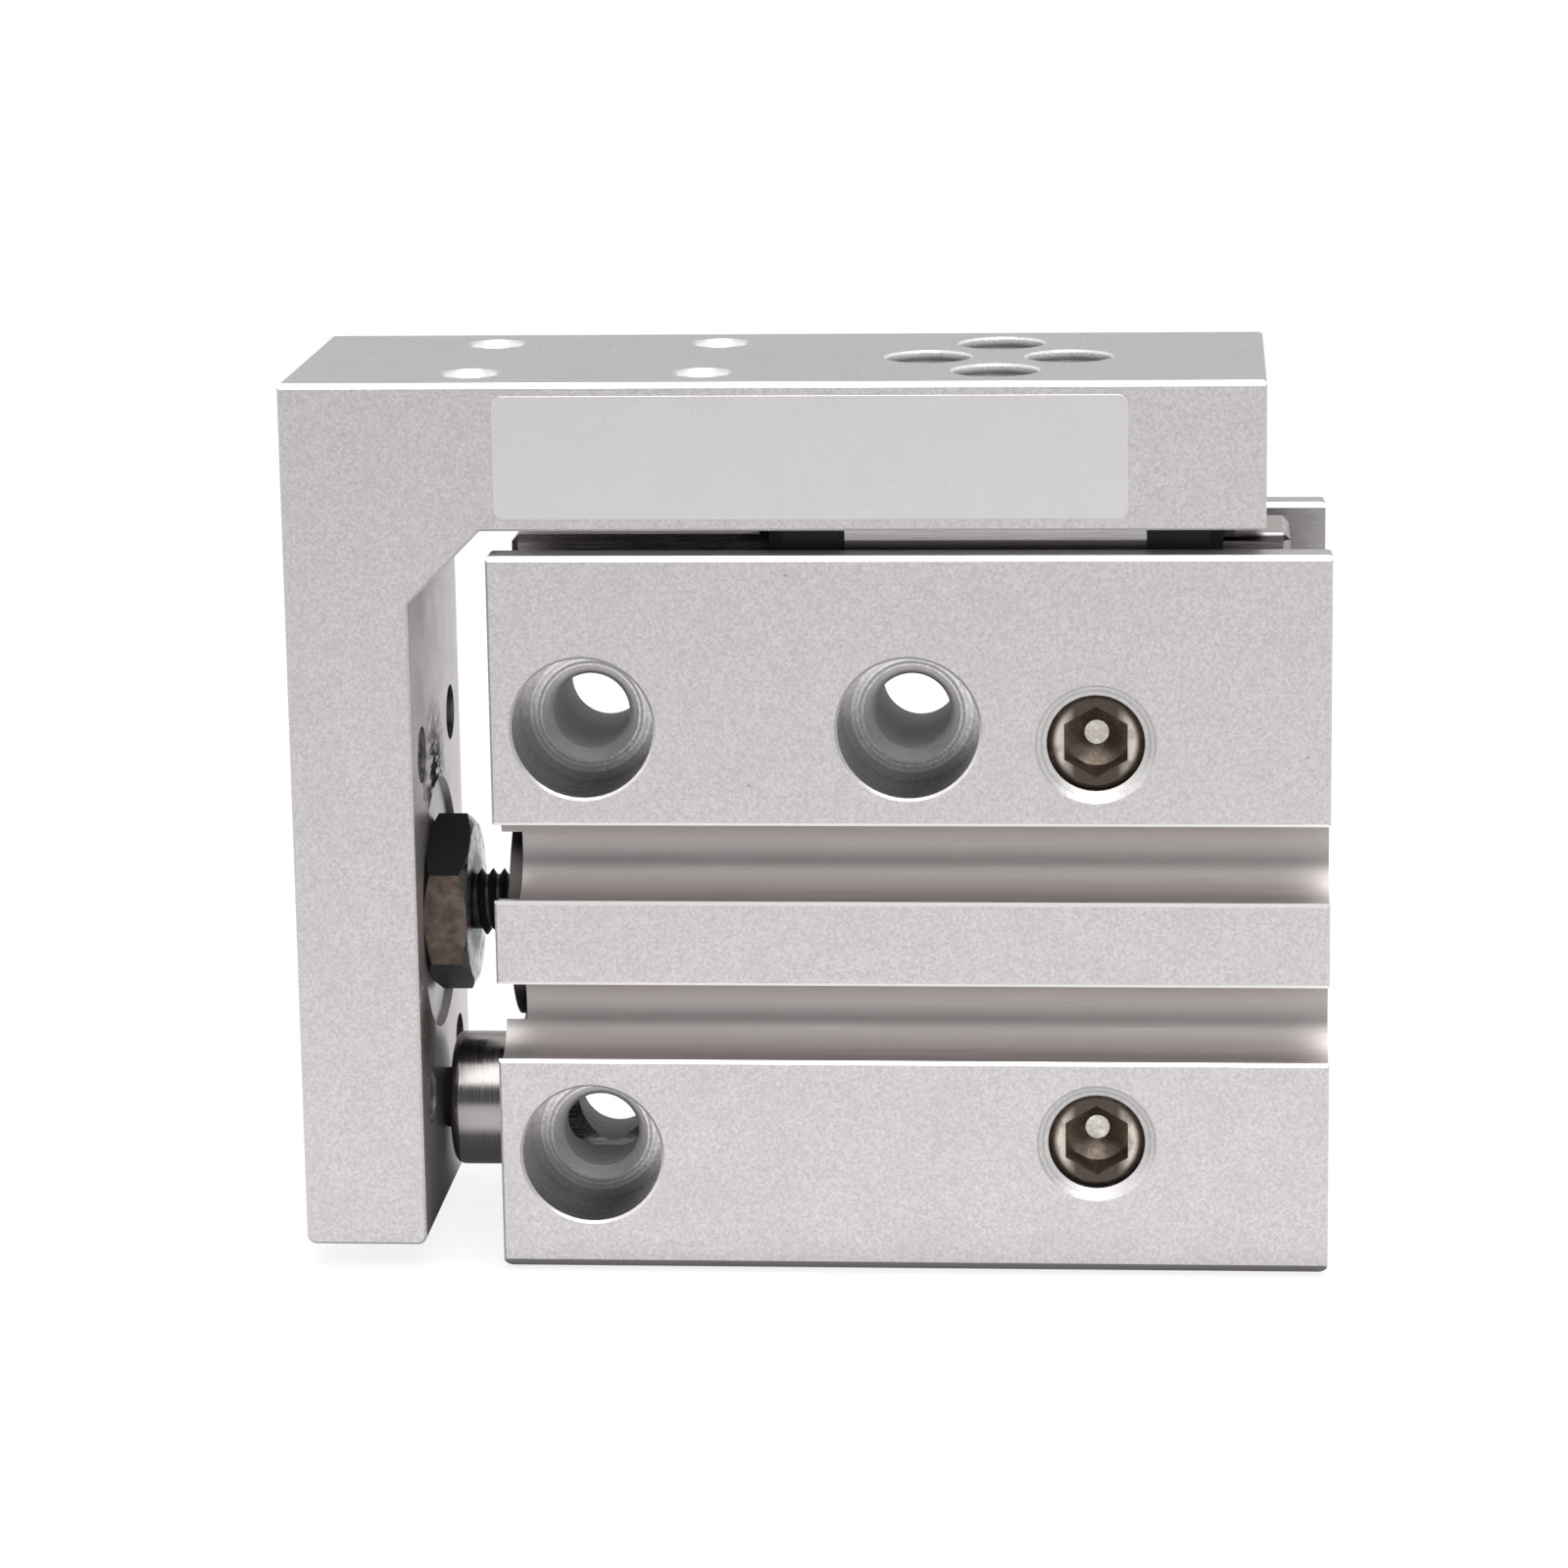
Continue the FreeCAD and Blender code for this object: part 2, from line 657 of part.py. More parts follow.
def make_guide_block():
    """Steel carriage block with load grooves, ball return holes and screw holes."""
    half = block_length / 2
    outline = carriage_outline(0, slot_side_gap, z_block_top)
    body = along_x(outline, x_carriage - half, x_carriage + half)
    crown = z_block_top - z_rail_top - slot_top_gap
    tools = []
    for side in (-1, 1):
        start = Vector(x_carriage - half - cut_margin, side * race_y, race_z)
        reach = block_length + 2 * cut_margin
        tools.append(bar(ball_diameter + 2 * race_clearance, start, toward_head, reach))
        start = Vector(x_carriage - half - cut_margin, side * return_y, race_z)
        tools.append(bar(ball_diameter + 2 * return_clearance, start, toward_head, reach))
        for point in cap_screw_points(side):
            depth = cap_screw_grip + thread_clearance
            tools.append(hole(cap_screw_diameter, point, toward_head * -side, depth))
    for point in table_screw_points:
        mouth = Vector(point.x, point.y, z_block_top)
        tools.append(hole(m2_diameter, mouth, downward, crown + thread_clearance))
    return body.cut(tools).removeSplitter()


def make_end_cap(side):
    """Plastic cap that turns the balls round at one end of the block."""
    x_face = x_carriage + side * block_length / 2
    x_far = x_face + side * end_cap_length
    outline = carriage_outline(end_cap_inset, end_cap_slot_gap, z_block_top - end_cap_inset)
    cap = along_x(outline, min(x_face, x_far), max(x_face, x_far))
    tools = []
    for y_side in (-1, 1):
        centre = Vector(x_face, y_side * (race_y + return_y) / 2, race_z)
        tools.append(Part.makeTorus(return_offset / 2, ball_diameter / 2 + return_clearance, centre, upward))
    for point in cap_screw_points(side):
        tools.append(hole(cap_screw_diameter, point, toward_head * side, end_cap_length + cut_margin))
    return cap.cut(tools).removeSplitter()


def make_end_seal(side):
    """Wiper plate that follows the rail closely, outside one end cap."""
    x_near = x_carriage + side * (block_length / 2 + end_cap_length)
    x_far = x_near + side * end_seal_length
    outline = carriage_outline(end_cap_inset, end_seal_slot_gap, z_block_top - end_cap_inset)
    plate = along_x(outline, min(x_near, x_far), max(x_near, x_far))
    tools = []
    for point in cap_screw_points(side):
        mouth = Vector(x_near, point.y, point.z)
        tools.append(hole(cap_screw_diameter, mouth, toward_head * side, end_seal_length + cut_margin))
    return plate.cut(tools)


def make_end_cap_screws():
    """Screws through each end seal and cap into the block."""
    screws = []
    for side in (-1, 1):
        outward = toward_head * side
        for point in cap_screw_points(side):
            seat = point + outward * (end_cap_length + end_seal_length)
            shank_length = end_cap_length + end_seal_length + cap_screw_grip
            shank = bar(cap_screw_diameter - 2 * thread_clearance, seat, outward * -1, shank_length)
            head = bar(cap_screw_head_diameter, seat, outward, cap_screw_head_height)
            socket_floor = seat + outward * (cap_screw_head_height - cap_screw_socket_depth)
            socket = hexagon(cap_screw_socket, socket_floor, outward, cap_screw_head_height)
            screws.append(head.fuse(shank).cut(socket))
    return Part.makeCompound(screws)


def circuit_point(distance, side):
    """Centre of a ball at a distance along the closed track on one side of the rail."""
    half = block_length / 2
    turn_radius = return_offset / 2
    turn = math.pi * turn_radius
    y_middle = race_y + turn_radius
    if distance < block_length:
        x, y = distance - half, race_y
    elif distance < block_length + turn:
        angle = (distance - block_length) / turn_radius
        x, y = half + turn_radius * math.sin(angle), y_middle - turn_radius * math.cos(angle)
    elif distance < 2 * block_length + turn:
        x, y = half - (distance - block_length - turn), return_y
    else:
        angle = (distance - 2 * block_length - turn) / turn_radius
        x, y = -half - turn_radius * math.sin(angle), y_middle + turn_radius * math.cos(angle)
    return Vector(x_carriage + x, side * y, race_z)


def make_ball_circuit(side):
    """Every ball of one closed circuit, evenly spaced along its track."""
    track = 2 * block_length + math.pi * return_offset
    count = int(track / ball_pitch)
    balls = [Part.makeSphere(ball_diameter / 2, circuit_point(index * track / count, side))
             for index in range(count)]
    return Part.makeCompound(balls)


def make_slide_table():
    """L-shaped table: a plate over the guide and a leg in front of the rod end."""
    inner_corner = [
        (x_leg_inner, z_table_under - table_corner), (x_leg_inner + table_corner, z_table_under),
    ]
    outline = [(x_leg_outer, leg_ground_gap), (x_leg_inner, leg_ground_gap)] + inner_corner + [
        (x_table_end, z_table_under), (x_table_end, z_table_top), (x_leg_outer, z_table_top),
    ]
    plate = softened(along_y(outline, y_front, y_back), [Vector(x, 0, z) for x, z in inner_corner])
    carriage_half = block_length / 2 + end_cap_length + end_seal_length + cap_screw_head_height
    pocket_half = carriage_half + pocket_corner_radius
    pocket_y = block_width / 2 + pocket_clearance
    pocket = block((x_carriage - pocket_half, x_carriage + pocket_half), (-pocket_y, pocket_y),
                   (z_table_under - cut_margin, z_block_top))
    upright = [edge for edge in pocket.Edges if edge.BoundBox.ZLength > block_sink]
    tools = [pocket.makeFillet(pocket_corner_radius, upright)]
    tools += long_edge_tools((x_leg_outer, x_table_end), z_table_top, -1, edge_chamfer)
    centre = Vector(x_leg_outer + table_hole_inset + table_hole_pitch_x / 2, 0, z_table_top)
    for mouth in corners_of(centre, table_hole_pitch_x, table_hole_pitch_y, toward_head, toward_back):
        tools.append(hole(m3_core_diameter, mouth, downward, table_hole_depth, m3_chamfer))
    for mouth in table_screw_points:
        depth = table_screw_sink + table_screw_head_height
        tools.append(hole(table_counterbore_diameter, mouth, downward, depth, table_counterbore_chamfer))
        tools.append(hole(m2_diameter + 2 * thread_clearance, mouth, downward, table_thickness))
    centre = Vector(x_leg_outer, 0, bore_height)
    for mouth in corners_of(centre, leg_hole_pitch_y, leg_hole_pitch_z, toward_back, upward):
        tools.append(hole(m3_core_diameter, mouth, toward_head, leg_thickness + cut_margin, m3_chamfer))
    tools.append(hole(m3_core_diameter, centre, toward_head, leg_thickness + cut_margin, m3_chamfer))
    tools.append(hole(spotface_diameter, Vector(x_leg_inner, 0, bore_height), toward_rod, spotface_depth))
    return plate.cut(tools).removeSplitter()


def make_table_screws():
    """Socket screws from the table's top into the carriage block."""
    screws = []
    crown = z_block_top - z_rail_top - slot_top_gap
    for mouth in table_screw_points:
        top = mouth + downward * table_screw_sink
        seat = top + downward * table_screw_head_height
        shank_length = seat.z - (z_block_top - crown + table_screw_tip_gap)
        screw = bar(table_screw_head_diameter, top, downward, table_screw_head_height)
        screw = screw.fuse(bar(m2_diameter - 2 * thread_clearance, seat, downward, shank_length))
        socket = hexagon(table_screw_socket, top + upward * cut_margin, downward,
                         table_screw_socket_depth + cut_margin)
        screws.append(screw.cut(socket))
    return Part.makeCompound(screws)


def make_piston_rod():
    """Rod with a threaded end in the leg and a slim tail through the piston."""
    core = m3_core_diameter / 2 - thread_clearance
    radius = rod_diameter / 2
    tail = piston_bore / 2 - press_clearance
    x_thread_end = x_leg_outer + rod_end_inset
    x_shoulder = x_recess_floor - flange_thickness
    profile = [
        (x_thread_end, 0), (x_thread_end, core), (x_shoulder, core), (x_shoulder, radius),
        (x_piston_rod, radius), (x_piston_rod, tail), (x_piston_head, tail), (x_piston_head, 0),
    ]
    return turned(profile, bore_height)


def make_lock_nut():
    """Hexagon nut against the leg, chamfered on its outer face."""
    start = Vector(x_nut_seat, 0, bore_height)
    prism = hexagon(nut_flats, start, toward_head, nut_height)
    corner = nut_flats / math.sqrt(3)
    drop = (corner - nut_flats / 2) * math.tan(math.radians(nut_chamfer_angle))
    x_face = x_nut_seat + nut_height
    blank = turned([(x_nut_seat, 0), (x_nut_seat, nut_flats / 2), (x_nut_seat + drop, corner),
                    (x_face - drop, corner), (x_face, nut_flats / 2), (x_face, 0)], bore_height)
    return prism.common(blank).cut(bar(m3_core_diameter, start, toward_head, nut_height))


def make_piston():
    """Piston with grooves for its seal and its magnet, and a slimmer skirt that lets air past."""
    inner = piston_bore / 2
    land = bore_diameter / 2 - piston_clearance
    skirt = land - skirt_step
    x_seal = x_piston_rod + seal_inset
    x_step = x_seal + 2 * seal_width
    x_magnet = x_piston_rod + magnet_inset
    profile = [
        (x_piston_rod, inner), (x_piston_rod, skirt), (x_piston_rod + seal_inset / 2, skirt),
        (x_piston_rod + seal_inset / 2, land), (x_seal, land), (x_seal, land - seal_depth),
        (x_seal + seal_width, land - seal_depth), (x_seal + seal_width, land), (x_step, land),
        (x_step, skirt), (x_magnet, skirt), (x_magnet, skirt - magnet_depth),
        (x_magnet + magnet_length, skirt - magnet_depth), (x_magnet + magnet_length, skirt),
        (x_piston_head, skirt), (x_piston_head, inner),
    ]
    return turned(profile, bore_height)


def make_piston_seal():
    """Double-lipped ring seal in the piston's groove."""
    x_low = x_piston_rod + seal_inset + ring_slack
    x_high = x_low + seal_width - 2 * ring_slack
    inner = bore_diameter / 2 - piston_clearance - seal_depth + ring_slack
    outer = bore_diameter / 2 - seal_clearance
    valley = ((x_low + x_high) / 2, outer - seal_depth / 3)
    return turned([(x_low, inner), (x_low, outer), valley, (x_high, outer), (x_high, inner)], bore_height)


def make_piston_magnet():
    """Ring magnet in the piston's skirt."""
    skirt = bore_diameter / 2 - piston_clearance - skirt_step
    x_low = x_piston_rod + magnet_inset + magnet_clearance
    x_high = x_low + magnet_length - 2 * magnet_clearance
    inner = skirt - magnet_depth + press_clearance
    outer = skirt - magnet_clearance
    return turned([(x_low, inner), (x_low, outer), (x_high, outer), (x_high, inner)], bore_height)


pieces = {
    "housing": make_housing(),
    "port_plug_upper": make_port_plug(ports_z[0]),
    "port_plug_lower": make_port_plug(ports_z[1]),
    "passage_plugs": make_passage_plugs(),
    "rod_cover": make_rod_cover(),
    "rod_cover_ring": make_rod_cover_ring(),
    "rod_seal": make_rod_seal(),
    "rod_bumper": make_rod_bumper(),
    "head_cap": make_head_cap(),
    "head_cap_ring": make_head_cap_ring(),
    "head_bumper": make_head_bumper(),
    "head_snap_ring": make_head_snap_ring(),
    "stop_bolt": make_stop_bolt(),
    "stop_bumper": make_stop_bumper(),
    "guide_rail": make_guide_rail(),
    "rail_screws": make_rail_screws(),
    "guide_block": make_guide_block(),
    "end_cap_rod": make_end_cap(-1),
    "end_cap_head": make_end_cap(1),
    "end_seal_rod": make_end_seal(-1),
    "end_seal_head": make_end_seal(1),
    "end_cap_screws": make_end_cap_screws(),
    "ball_circuit_front": make_ball_circuit(-1),
    "ball_circuit_back": make_ball_circuit(1),
    "slide_table": make_slide_table(),
    "table_screws": make_table_screws(),
    "piston_rod": make_piston_rod(),
    "lock_nut": make_lock_nut(),
    "piston": make_piston(),
    "piston_seal": make_piston_seal(),
    "piston_magnet": make_piston_magnet(),
}

os.makedirs("parts", exist_ok=True)
for name, shape in pieces.items():
    shape.exportStep(f"parts/{name}.step")
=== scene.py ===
"""Looks of the compact slide table cylinder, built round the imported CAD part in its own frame."""

import json
import logging
import math
from collections.abc import Iterable
from dataclasses import dataclass
from enum import Enum

import bmesh
import bpy
from mathutils import Euler, Matrix, Vector


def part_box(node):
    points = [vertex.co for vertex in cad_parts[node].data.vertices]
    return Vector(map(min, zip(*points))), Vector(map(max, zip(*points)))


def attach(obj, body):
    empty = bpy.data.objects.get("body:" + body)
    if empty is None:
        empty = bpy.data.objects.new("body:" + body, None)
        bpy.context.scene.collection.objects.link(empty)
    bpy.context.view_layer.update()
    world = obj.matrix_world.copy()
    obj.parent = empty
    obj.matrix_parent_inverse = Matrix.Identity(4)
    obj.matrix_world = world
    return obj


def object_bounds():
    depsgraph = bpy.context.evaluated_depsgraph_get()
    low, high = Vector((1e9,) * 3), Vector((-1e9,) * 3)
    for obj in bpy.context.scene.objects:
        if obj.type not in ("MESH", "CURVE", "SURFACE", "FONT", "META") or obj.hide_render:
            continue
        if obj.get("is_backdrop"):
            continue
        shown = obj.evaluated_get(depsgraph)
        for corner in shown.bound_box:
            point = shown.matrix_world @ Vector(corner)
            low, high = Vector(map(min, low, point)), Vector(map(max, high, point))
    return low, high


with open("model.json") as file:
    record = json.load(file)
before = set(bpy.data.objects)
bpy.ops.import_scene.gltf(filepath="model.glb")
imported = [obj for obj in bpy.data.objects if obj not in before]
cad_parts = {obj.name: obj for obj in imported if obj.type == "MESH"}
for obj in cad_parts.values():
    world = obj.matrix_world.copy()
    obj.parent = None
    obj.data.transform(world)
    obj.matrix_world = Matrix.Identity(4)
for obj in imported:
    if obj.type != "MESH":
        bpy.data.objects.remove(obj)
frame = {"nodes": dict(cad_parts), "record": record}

log = logging.getLogger("slide_table_cylinder")

MM = 0.001
# In millimetres: beyond every face, how far a zone stays off the faces round it, and the finest grain.
FAR = 99.0
SKIN = 0.01
FINE = 0.12

Pair = tuple[float, float]
Triple = tuple[float, float, float]
Colour = Triple
Material = bpy.types.Material
Socket = bpy.types.NodeSocket
Shape = bmesh.types.BMesh


class Body(Enum):
    """CAD bodies that pieces ride on."""

    HOUSING = "housing"
    TABLE = "table"


class Slot(Enum):
    """Material slots of the record, passed with the added pieces."""

    ALUMINIUM = "anodised_aluminium"
    BLACK_STEEL = "black_steel"


class Axis(Enum):
    """Directions along the axes of the CAD frame."""

    HEAD = (1.0, 0.0, 0.0)
    BACK = (0.0, 1.0, 0.0)
    FRONT = (0.0, -1.0, 0.0)
    UP = (0.0, 0.0, 1.0)
    DOWN = (0.0, 0.0, -1.0)

    @property
    def vector(self) -> Vector:
        """Returns: the direction as a unit vector."""
        return Vector(self.value)

    @property
    def across(self) -> Vector:
        """Returns: 0 for the axis itself and 1 for the two across it."""
        return Vector([1.0 - abs(part) for part in self.value])


class Lines(Enum):
    """How fine lines run: how tightly a pattern repeats along X, Y and Z."""

    EVEN = (1.0, 1.0, 1.0)
    DRAWN = (0.02, 1.0, 1.0)
    MILLED = (0.05, 1.0, 1.0)
    TURNED = (1.0, 0.02, 0.02)
    FACED = (1.0, 0.05, 0.05)
    UPRIGHT = (1.0, 1.0, 0.05)
    WIPED = (1.0, 0.3, 1.0)


def tinted(colour: Colour, factor: float) -> Colour:
    """Returns: the colour times a factor, with no channel above 1."""
    return tuple(min(1.0, channel * factor) for channel in colour)


def around(middle: float, reach: float) -> Pair:
    """Returns: both ends of a stretch round a middle, in metres from millimetres."""
    return (middle - reach) * MM, (middle + reach) * MM


def corners(node: str) -> tuple[Vector, Vector]:
    """Returns: the low and high corner of a CAD node's box, in millimetres."""
    low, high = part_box(node)
    return low / MM, high / MM


def mount_places(name: str, across: Axis = Axis.HEAD, up: Axis = Axis.UP) -> list[Vector]:
    """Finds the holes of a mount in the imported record.

    Args:
        name: the mount's name.
        across: the direction of its first spacing.
        up: the direction of its second spacing.

    Returns: the holes' places in millimetres.
    """
    mount = next(item for item in frame["record"]["mounts"] if item["name"] == name)
    middle = Vector(mount["pos_m"]) / MM
    wide, tall = (mount["dims"].get(key, 0.0) / 2 for key in ("spacing_x_mm", "spacing_y_mm"))
    return [middle + across.vector * a + up.vector * b
            for a in sorted({-wide, wide}) for b in sorted({-tall, tall})]


class NodeGraph:
    """A node tree, with short calls for adding nodes."""

    def __init__(self, tree: bpy.types.NodeTree) -> None:
        """Empties the tree of a material or a world."""
        self.tree = tree
        tree.nodes.clear()

    def add(self, kind: str, inputs: dict[str | int, object], **settings: str) -> bpy.types.ShaderNode:
        """Adds a node and fills its inputs.

        Args:
            kind: the node's type name.
            inputs: constants and outputs of other nodes, by the input's name or number.
            settings: node properties by name.

        Returns: the new node.
        """
        node = self.tree.nodes.new(kind)
        for name, value in settings.items():
            setattr(node, name, value)
        for name, source in inputs.items():
            if isinstance(source, Socket):
                self.tree.links.new(source, node.inputs[name])
            else:
                node.inputs[name].default_value = source
        return node

    def combine(self, operation: str, first: Socket | float, second: Socket | float = 0.0) -> Socket:
        """Returns: what a sum makes of one or two values."""
        return self.add("ShaderNodeMath", {0: first, 1: second}, operation=operation).outputs["Value"]

    def product(self, first: Socket, second: Socket) -> Socket:
        """Returns: the product of two values."""
        return self.combine("MULTIPLY", first, second)

    def larger(self, first: Socket, second: Socket) -> Socket:
        """Returns: the larger of two values."""
        return self.combine("MAXIMUM", first, second)


class ShaderGraph(NodeGraph):
    """A new material's node tree, with the patterns that the finishes share."""

    def __init__(self, name: str) -> None:
        """Starts an empty material.

        Args:
            name: the material's name.
        """
        self.material = bpy.data.materials.new(name)
        self.material.use_nodes = True
        super().__init__(self.material.node_tree)
        self.place = self.add("ShaderNodeTexCoord", {}).outputs["Object"]

    def vector(self, operation: str, source: Socket, other: Iterable[float] = (0.0, 0.0, 0.0),
               result: str = "Value") -> Socket:
        """Works on a vector.

        Args:
            operation: what to do with it.
            source: the vector's output.
            other: a constant vector, where the operation takes two.
            result: which output to give back.

        Returns: the result's output.
        """
        node = self.add("ShaderNodeVectorMath", {0: source, 1: other}, operation=operation)
        return node.outputs[result]

    def noise(self, size: float, detail: float, lines: Lines = Lines.EVEN) -> Socket:
        """Fractal noise whose features have a given size.

        Args:
            size: feature size in millimetres.
            detail: number of finer layers.
            lines: how the pattern is drawn out.

        Returns: the noise value's output.
        """
        mapping = self.add("ShaderNodeMapping", {"Vector": self.place, "Scale": lines.value})
        return self.add("ShaderNodeTexNoise", {
            "Vector": mapping.outputs["Vector"], "Scale": 1.0 / (size * MM), "Detail": detail,
            "Roughness": 0.6}).outputs["Fac"]

    def spread(self, source: Socket, low: float, high: float, start: float = 0.3, end: float = 0.7) -> Socket:
        """Maps a value from one range to another, clamped.

        Args:
            source: the value.
            low: the result at start.
            high: the result at end.
            start: where the source range starts.
            end: where the source range ends.

        Returns: the mapped value's output.
        """
        return self.add("ShaderNodeMapRange", {
            "Value": source, "From Min": start, "From Max": end, "To Min": low,
            "To Max": high}).outputs["Result"]

    def varied(self, source: Socket, middle: float, less: float, more: float) -> Socket:
        """Returns: a value that a pattern varies round a middle."""
        return self.spread(source, middle - less, middle + more)

    def blend(self, factor: Socket, *colours: Colour | Socket) -> Socket:
        """Mixes two colours.

        Args:
            factor: 0 gives the first colour, 1 the second.
            colours: the two colours or colour outputs.

        Returns: the mixed colour's output.
        """
        first, second = (c if isinstance(c, Socket) else (*c, 1.0) for c in colours)
        return self.add("ShaderNodeMix", {0: factor, 6: first, 7: second}, data_type="RGBA").outputs[2]

    def along(self, direction: Triple) -> Socket:
        """Returns: how far the surface point lies in a direction of the CAD frame."""
        return self.vector("DOT_PRODUCT", self.place, direction)

    def from_axis(self, centre: Triple, axis: Axis) -> Socket:
        """Measures the distance from an axis.

        Args:
            centre: a point on the axis in millimetres.
            axis: its direction.

        Returns: how far the surface point lies from the axis.
        """
        flat = self.add("ShaderNodeMapping", {
            "Vector": self.place, "Scale": axis.across,
            "Location": [-c * a * MM for c, a in zip(centre, axis.across)]})
        return self.vector("LENGTH", flat.outputs["Vector"])

    def apart(self, value: Socket, target: float) -> Socket:
        """Returns: how far a length is from a target in millimetres."""
        return self.combine("ABSOLUTE", self.combine("SUBTRACT", value, target * MM))

    def bump(self, height: Socket, depth: float, strength: float, under: Socket | None = None) -> Socket:
        """Surface relief from a height value.

        Args:
            height: the height.
            depth: relief depth in millimetres.
            strength: how much of it shows.
            under: the normal of a relief to add to.

        Returns: the normal's output.
        """
        inputs = {"Strength": strength, "Distance": depth * MM, "Height": height}
        if under:
            inputs["Normal"] = under
        return self.add("ShaderNodeBump", inputs).outputs["Normal"]

    def matte(self, shade: float) -> Socket:
        """Returns: a dull grey surface."""
        return self.add("ShaderNodeBsdfDiffuse", {"Color": (shade, shade, shade, 1.0)}).outputs["BSDF"]

    def show(self, shader: Socket) -> Material:
        """Returns: the material, ended with a shader."""
        self.add("ShaderNodeOutputMaterial", {"Surface": shader})
        return self.material

    def close(self, colour: Socket, roughness: Socket, normal: Socket, metallic: float,
              gloss: float = 0.5) -> Material:
        """Ends the tree with a principled surface.

        Args:
            colour: base colour.
            roughness: roughness.
            normal: surface normal.
            metallic: share of metal.
            gloss: how strongly the part that isn't metal mirrors.

        Returns: the finished material.
        """
        surface = self.add("ShaderNodeBsdfPrincipled", {
            "Base Color": colour, "Roughness": roughness, "Normal": normal, "Metallic": metallic,
            "Specular IOR Level": gloss})
        return self.show(surface.outputs["BSDF"])


@dataclass(frozen=True)
class StainAndShade:
    """Dark patches round a point, drawn out along the table's width: smudges, and, where a patch is wide and
    nearly solid, painted shade.
    """

    centre: Triple
    reach: float
    cover: float = 0.5
    colour: Colour = (0.06, 0.05, 0.042)
    grain: float = 0.5
    depth: float = 0.0
    core: float = 0.2

    def mask(self, graph: ShaderGraph) -> Socket:
        """Finds the dark patches.

        Args:
            graph: the tree to add to.

        Returns: a mask that is 1 in a mark.
        """
        offset = graph.vector("DISTANCE", graph.place, [c * MM for c in self.centre])
        near = graph.spread(offset, 1.0, 0.0, self.core * self.reach * MM, self.reach * MM)
        noise = graph.noise(self.grain, 4.0, Lines.WIPED)
        return graph.product(near, graph.spread(noise, 0.0, 1.0, 0.96 - self.cover, 1.06 - self.cover))


@dataclass(frozen=True)
class SatinFinish:
    """Blasted and anodised aluminium: fine grain, faint clouds and a few dark specks."""

    name: str
    colour: Colour
    grain: float = FINE
    contrast: float = 0.10
    roughness: float = 0.40
    metallic: float = 0.85
    relief: float = 0.012
    speck: float = 0.65
    stains_and_shade: tuple[StainAndShade, ...] = ()
    cloud: float = 2.4
    cloud_shade: float = 0.93
    speck_spacing: float = 1.7

    def build(self) -> Material:
        """Returns: the material."""
        graph = ShaderGraph(self.name)
        grain = graph.noise(self.grain, 2.0)
        clouds = graph.noise(self.cloud, 3.0)
        dark, light = (tinted(self.colour, 1.0 + side * self.contrast) for side in (-1.0, 1.0))
        colour = graph.blend(graph.spread(grain, 0.0, 1.0), dark, light)
        shade = tinted(self.colour, self.cloud_shade)
        colour = graph.blend(graph.spread(clouds, 0.0, 0.3, 0.45, 0.75), colour, shade)
        if self.speck:
            colour = graph.blend(self.specks(graph), colour, tinted(self.colour, 1.0 - self.speck))
        normal = graph.bump(grain, self.relief, 0.5)
        roughness = graph.varied(clouds, self.roughness, 0.04, 0.04)
        # Smudges, and painted shade where a patch is wide and nearly solid.
        for stain_and_shade in self.stains_and_shade:
            mark = stain_and_shade.mask(graph)
            colour = graph.blend(mark, colour, stain_and_shade.colour)
            normal = graph.bump(mark, stain_and_shade.depth, 1.0, normal)
            roughness = graph.larger(roughness, mark)
        return graph.close(colour, roughness, normal, self.metallic)

    def specks(self, graph: ShaderGraph) -> Socket:
        """Sparse dark specks.

        Args:
            graph: the tree to add to.

        Returns: a mask that is 1 in a speck.
        """
        scale = 1.0 / (self.speck_spacing * MM)
        cells = graph.add("ShaderNodeTexVoronoi", {"Vector": graph.place, "Scale": scale}).outputs
        chosen = graph.add("ShaderNodeSeparateColor", {"Color": cells["Color"]})
        rare = graph.spread(chosen.outputs["Red"], 0.0, 0.7, 0.86, 0.9)
        return graph.product(rare, graph.spread(cells["Distance"], 1.0, 0.0, 0.02, 0.06))


@dataclass(frozen=True)
class LinedFinish:
    """Ground, turned or milled metal with fine lines."""

    name: str
    colour: Colour
    lines: Lines = Lines.EVEN
    roughness: float = 0.25
    contrast: float = 0.08
    line: float = 0.06
    cloud: float = 1.6
    relief: float = 0.004

    def build(self) -> Material:
        """Returns: the material."""
        graph = ShaderGraph(self.name)
        lines = graph.noise(self.line, 1.0, self.lines)
        clouds = graph.noise(self.cloud, 2.0)
        dark, light = (tinted(self.colour, 1.0 + side * self.contrast) for side in (-1.0, 1.0))
        colour = graph.blend(graph.spread(lines, 0.0, 1.0), dark, light)
        colour = graph.blend(graph.spread(clouds, 0.0, 0.3), colour, dark)
        roughness = graph.varied(lines, self.roughness, 0.05, 0.07)
        return graph.close(colour, roughness, graph.bump(lines, self.relief, 0.35), 1.0)


@dataclass(frozen=True)
class GradedFinish:
    """Lined metal with one colour below a height and another above it, a height that may rise along X by the
    lean: on the rail's edges, the table's counterbore walls and the grooves this is painted light and shade.
    """

    name: str
    below: Colour
    above: Colour
    level: float
    fade: float
    lines: Lines = Lines.EVEN
    roughness: float = 0.3
    metallic: float = 1.0
    line: float = 0.07
    contrast: float = 0.4
    lean: float = 0.0
    relief: float = 0.004

    def build(self) -> Material:
        """Returns: the material."""
        graph = ShaderGraph(self.name)
        lines = graph.noise(self.line, 2.0, self.lines)
        height = graph.along((-self.lean, 0.0, 1.0))
        upper = graph.spread(height, 0.0, 1.0, *around(self.level, self.fade))
        dull = tinted(self.above, 1.0 - self.contrast)
        lined = graph.blend(graph.spread(lines, 0.0, 1.0), dull, self.above)
        colour = graph.blend(upper, self.below, lined)
        roughness = graph.varied(lines, self.roughness, 0.05, 0.07)
        return graph.close(colour, roughness, graph.bump(lines, self.relief, 0.35), self.metallic)


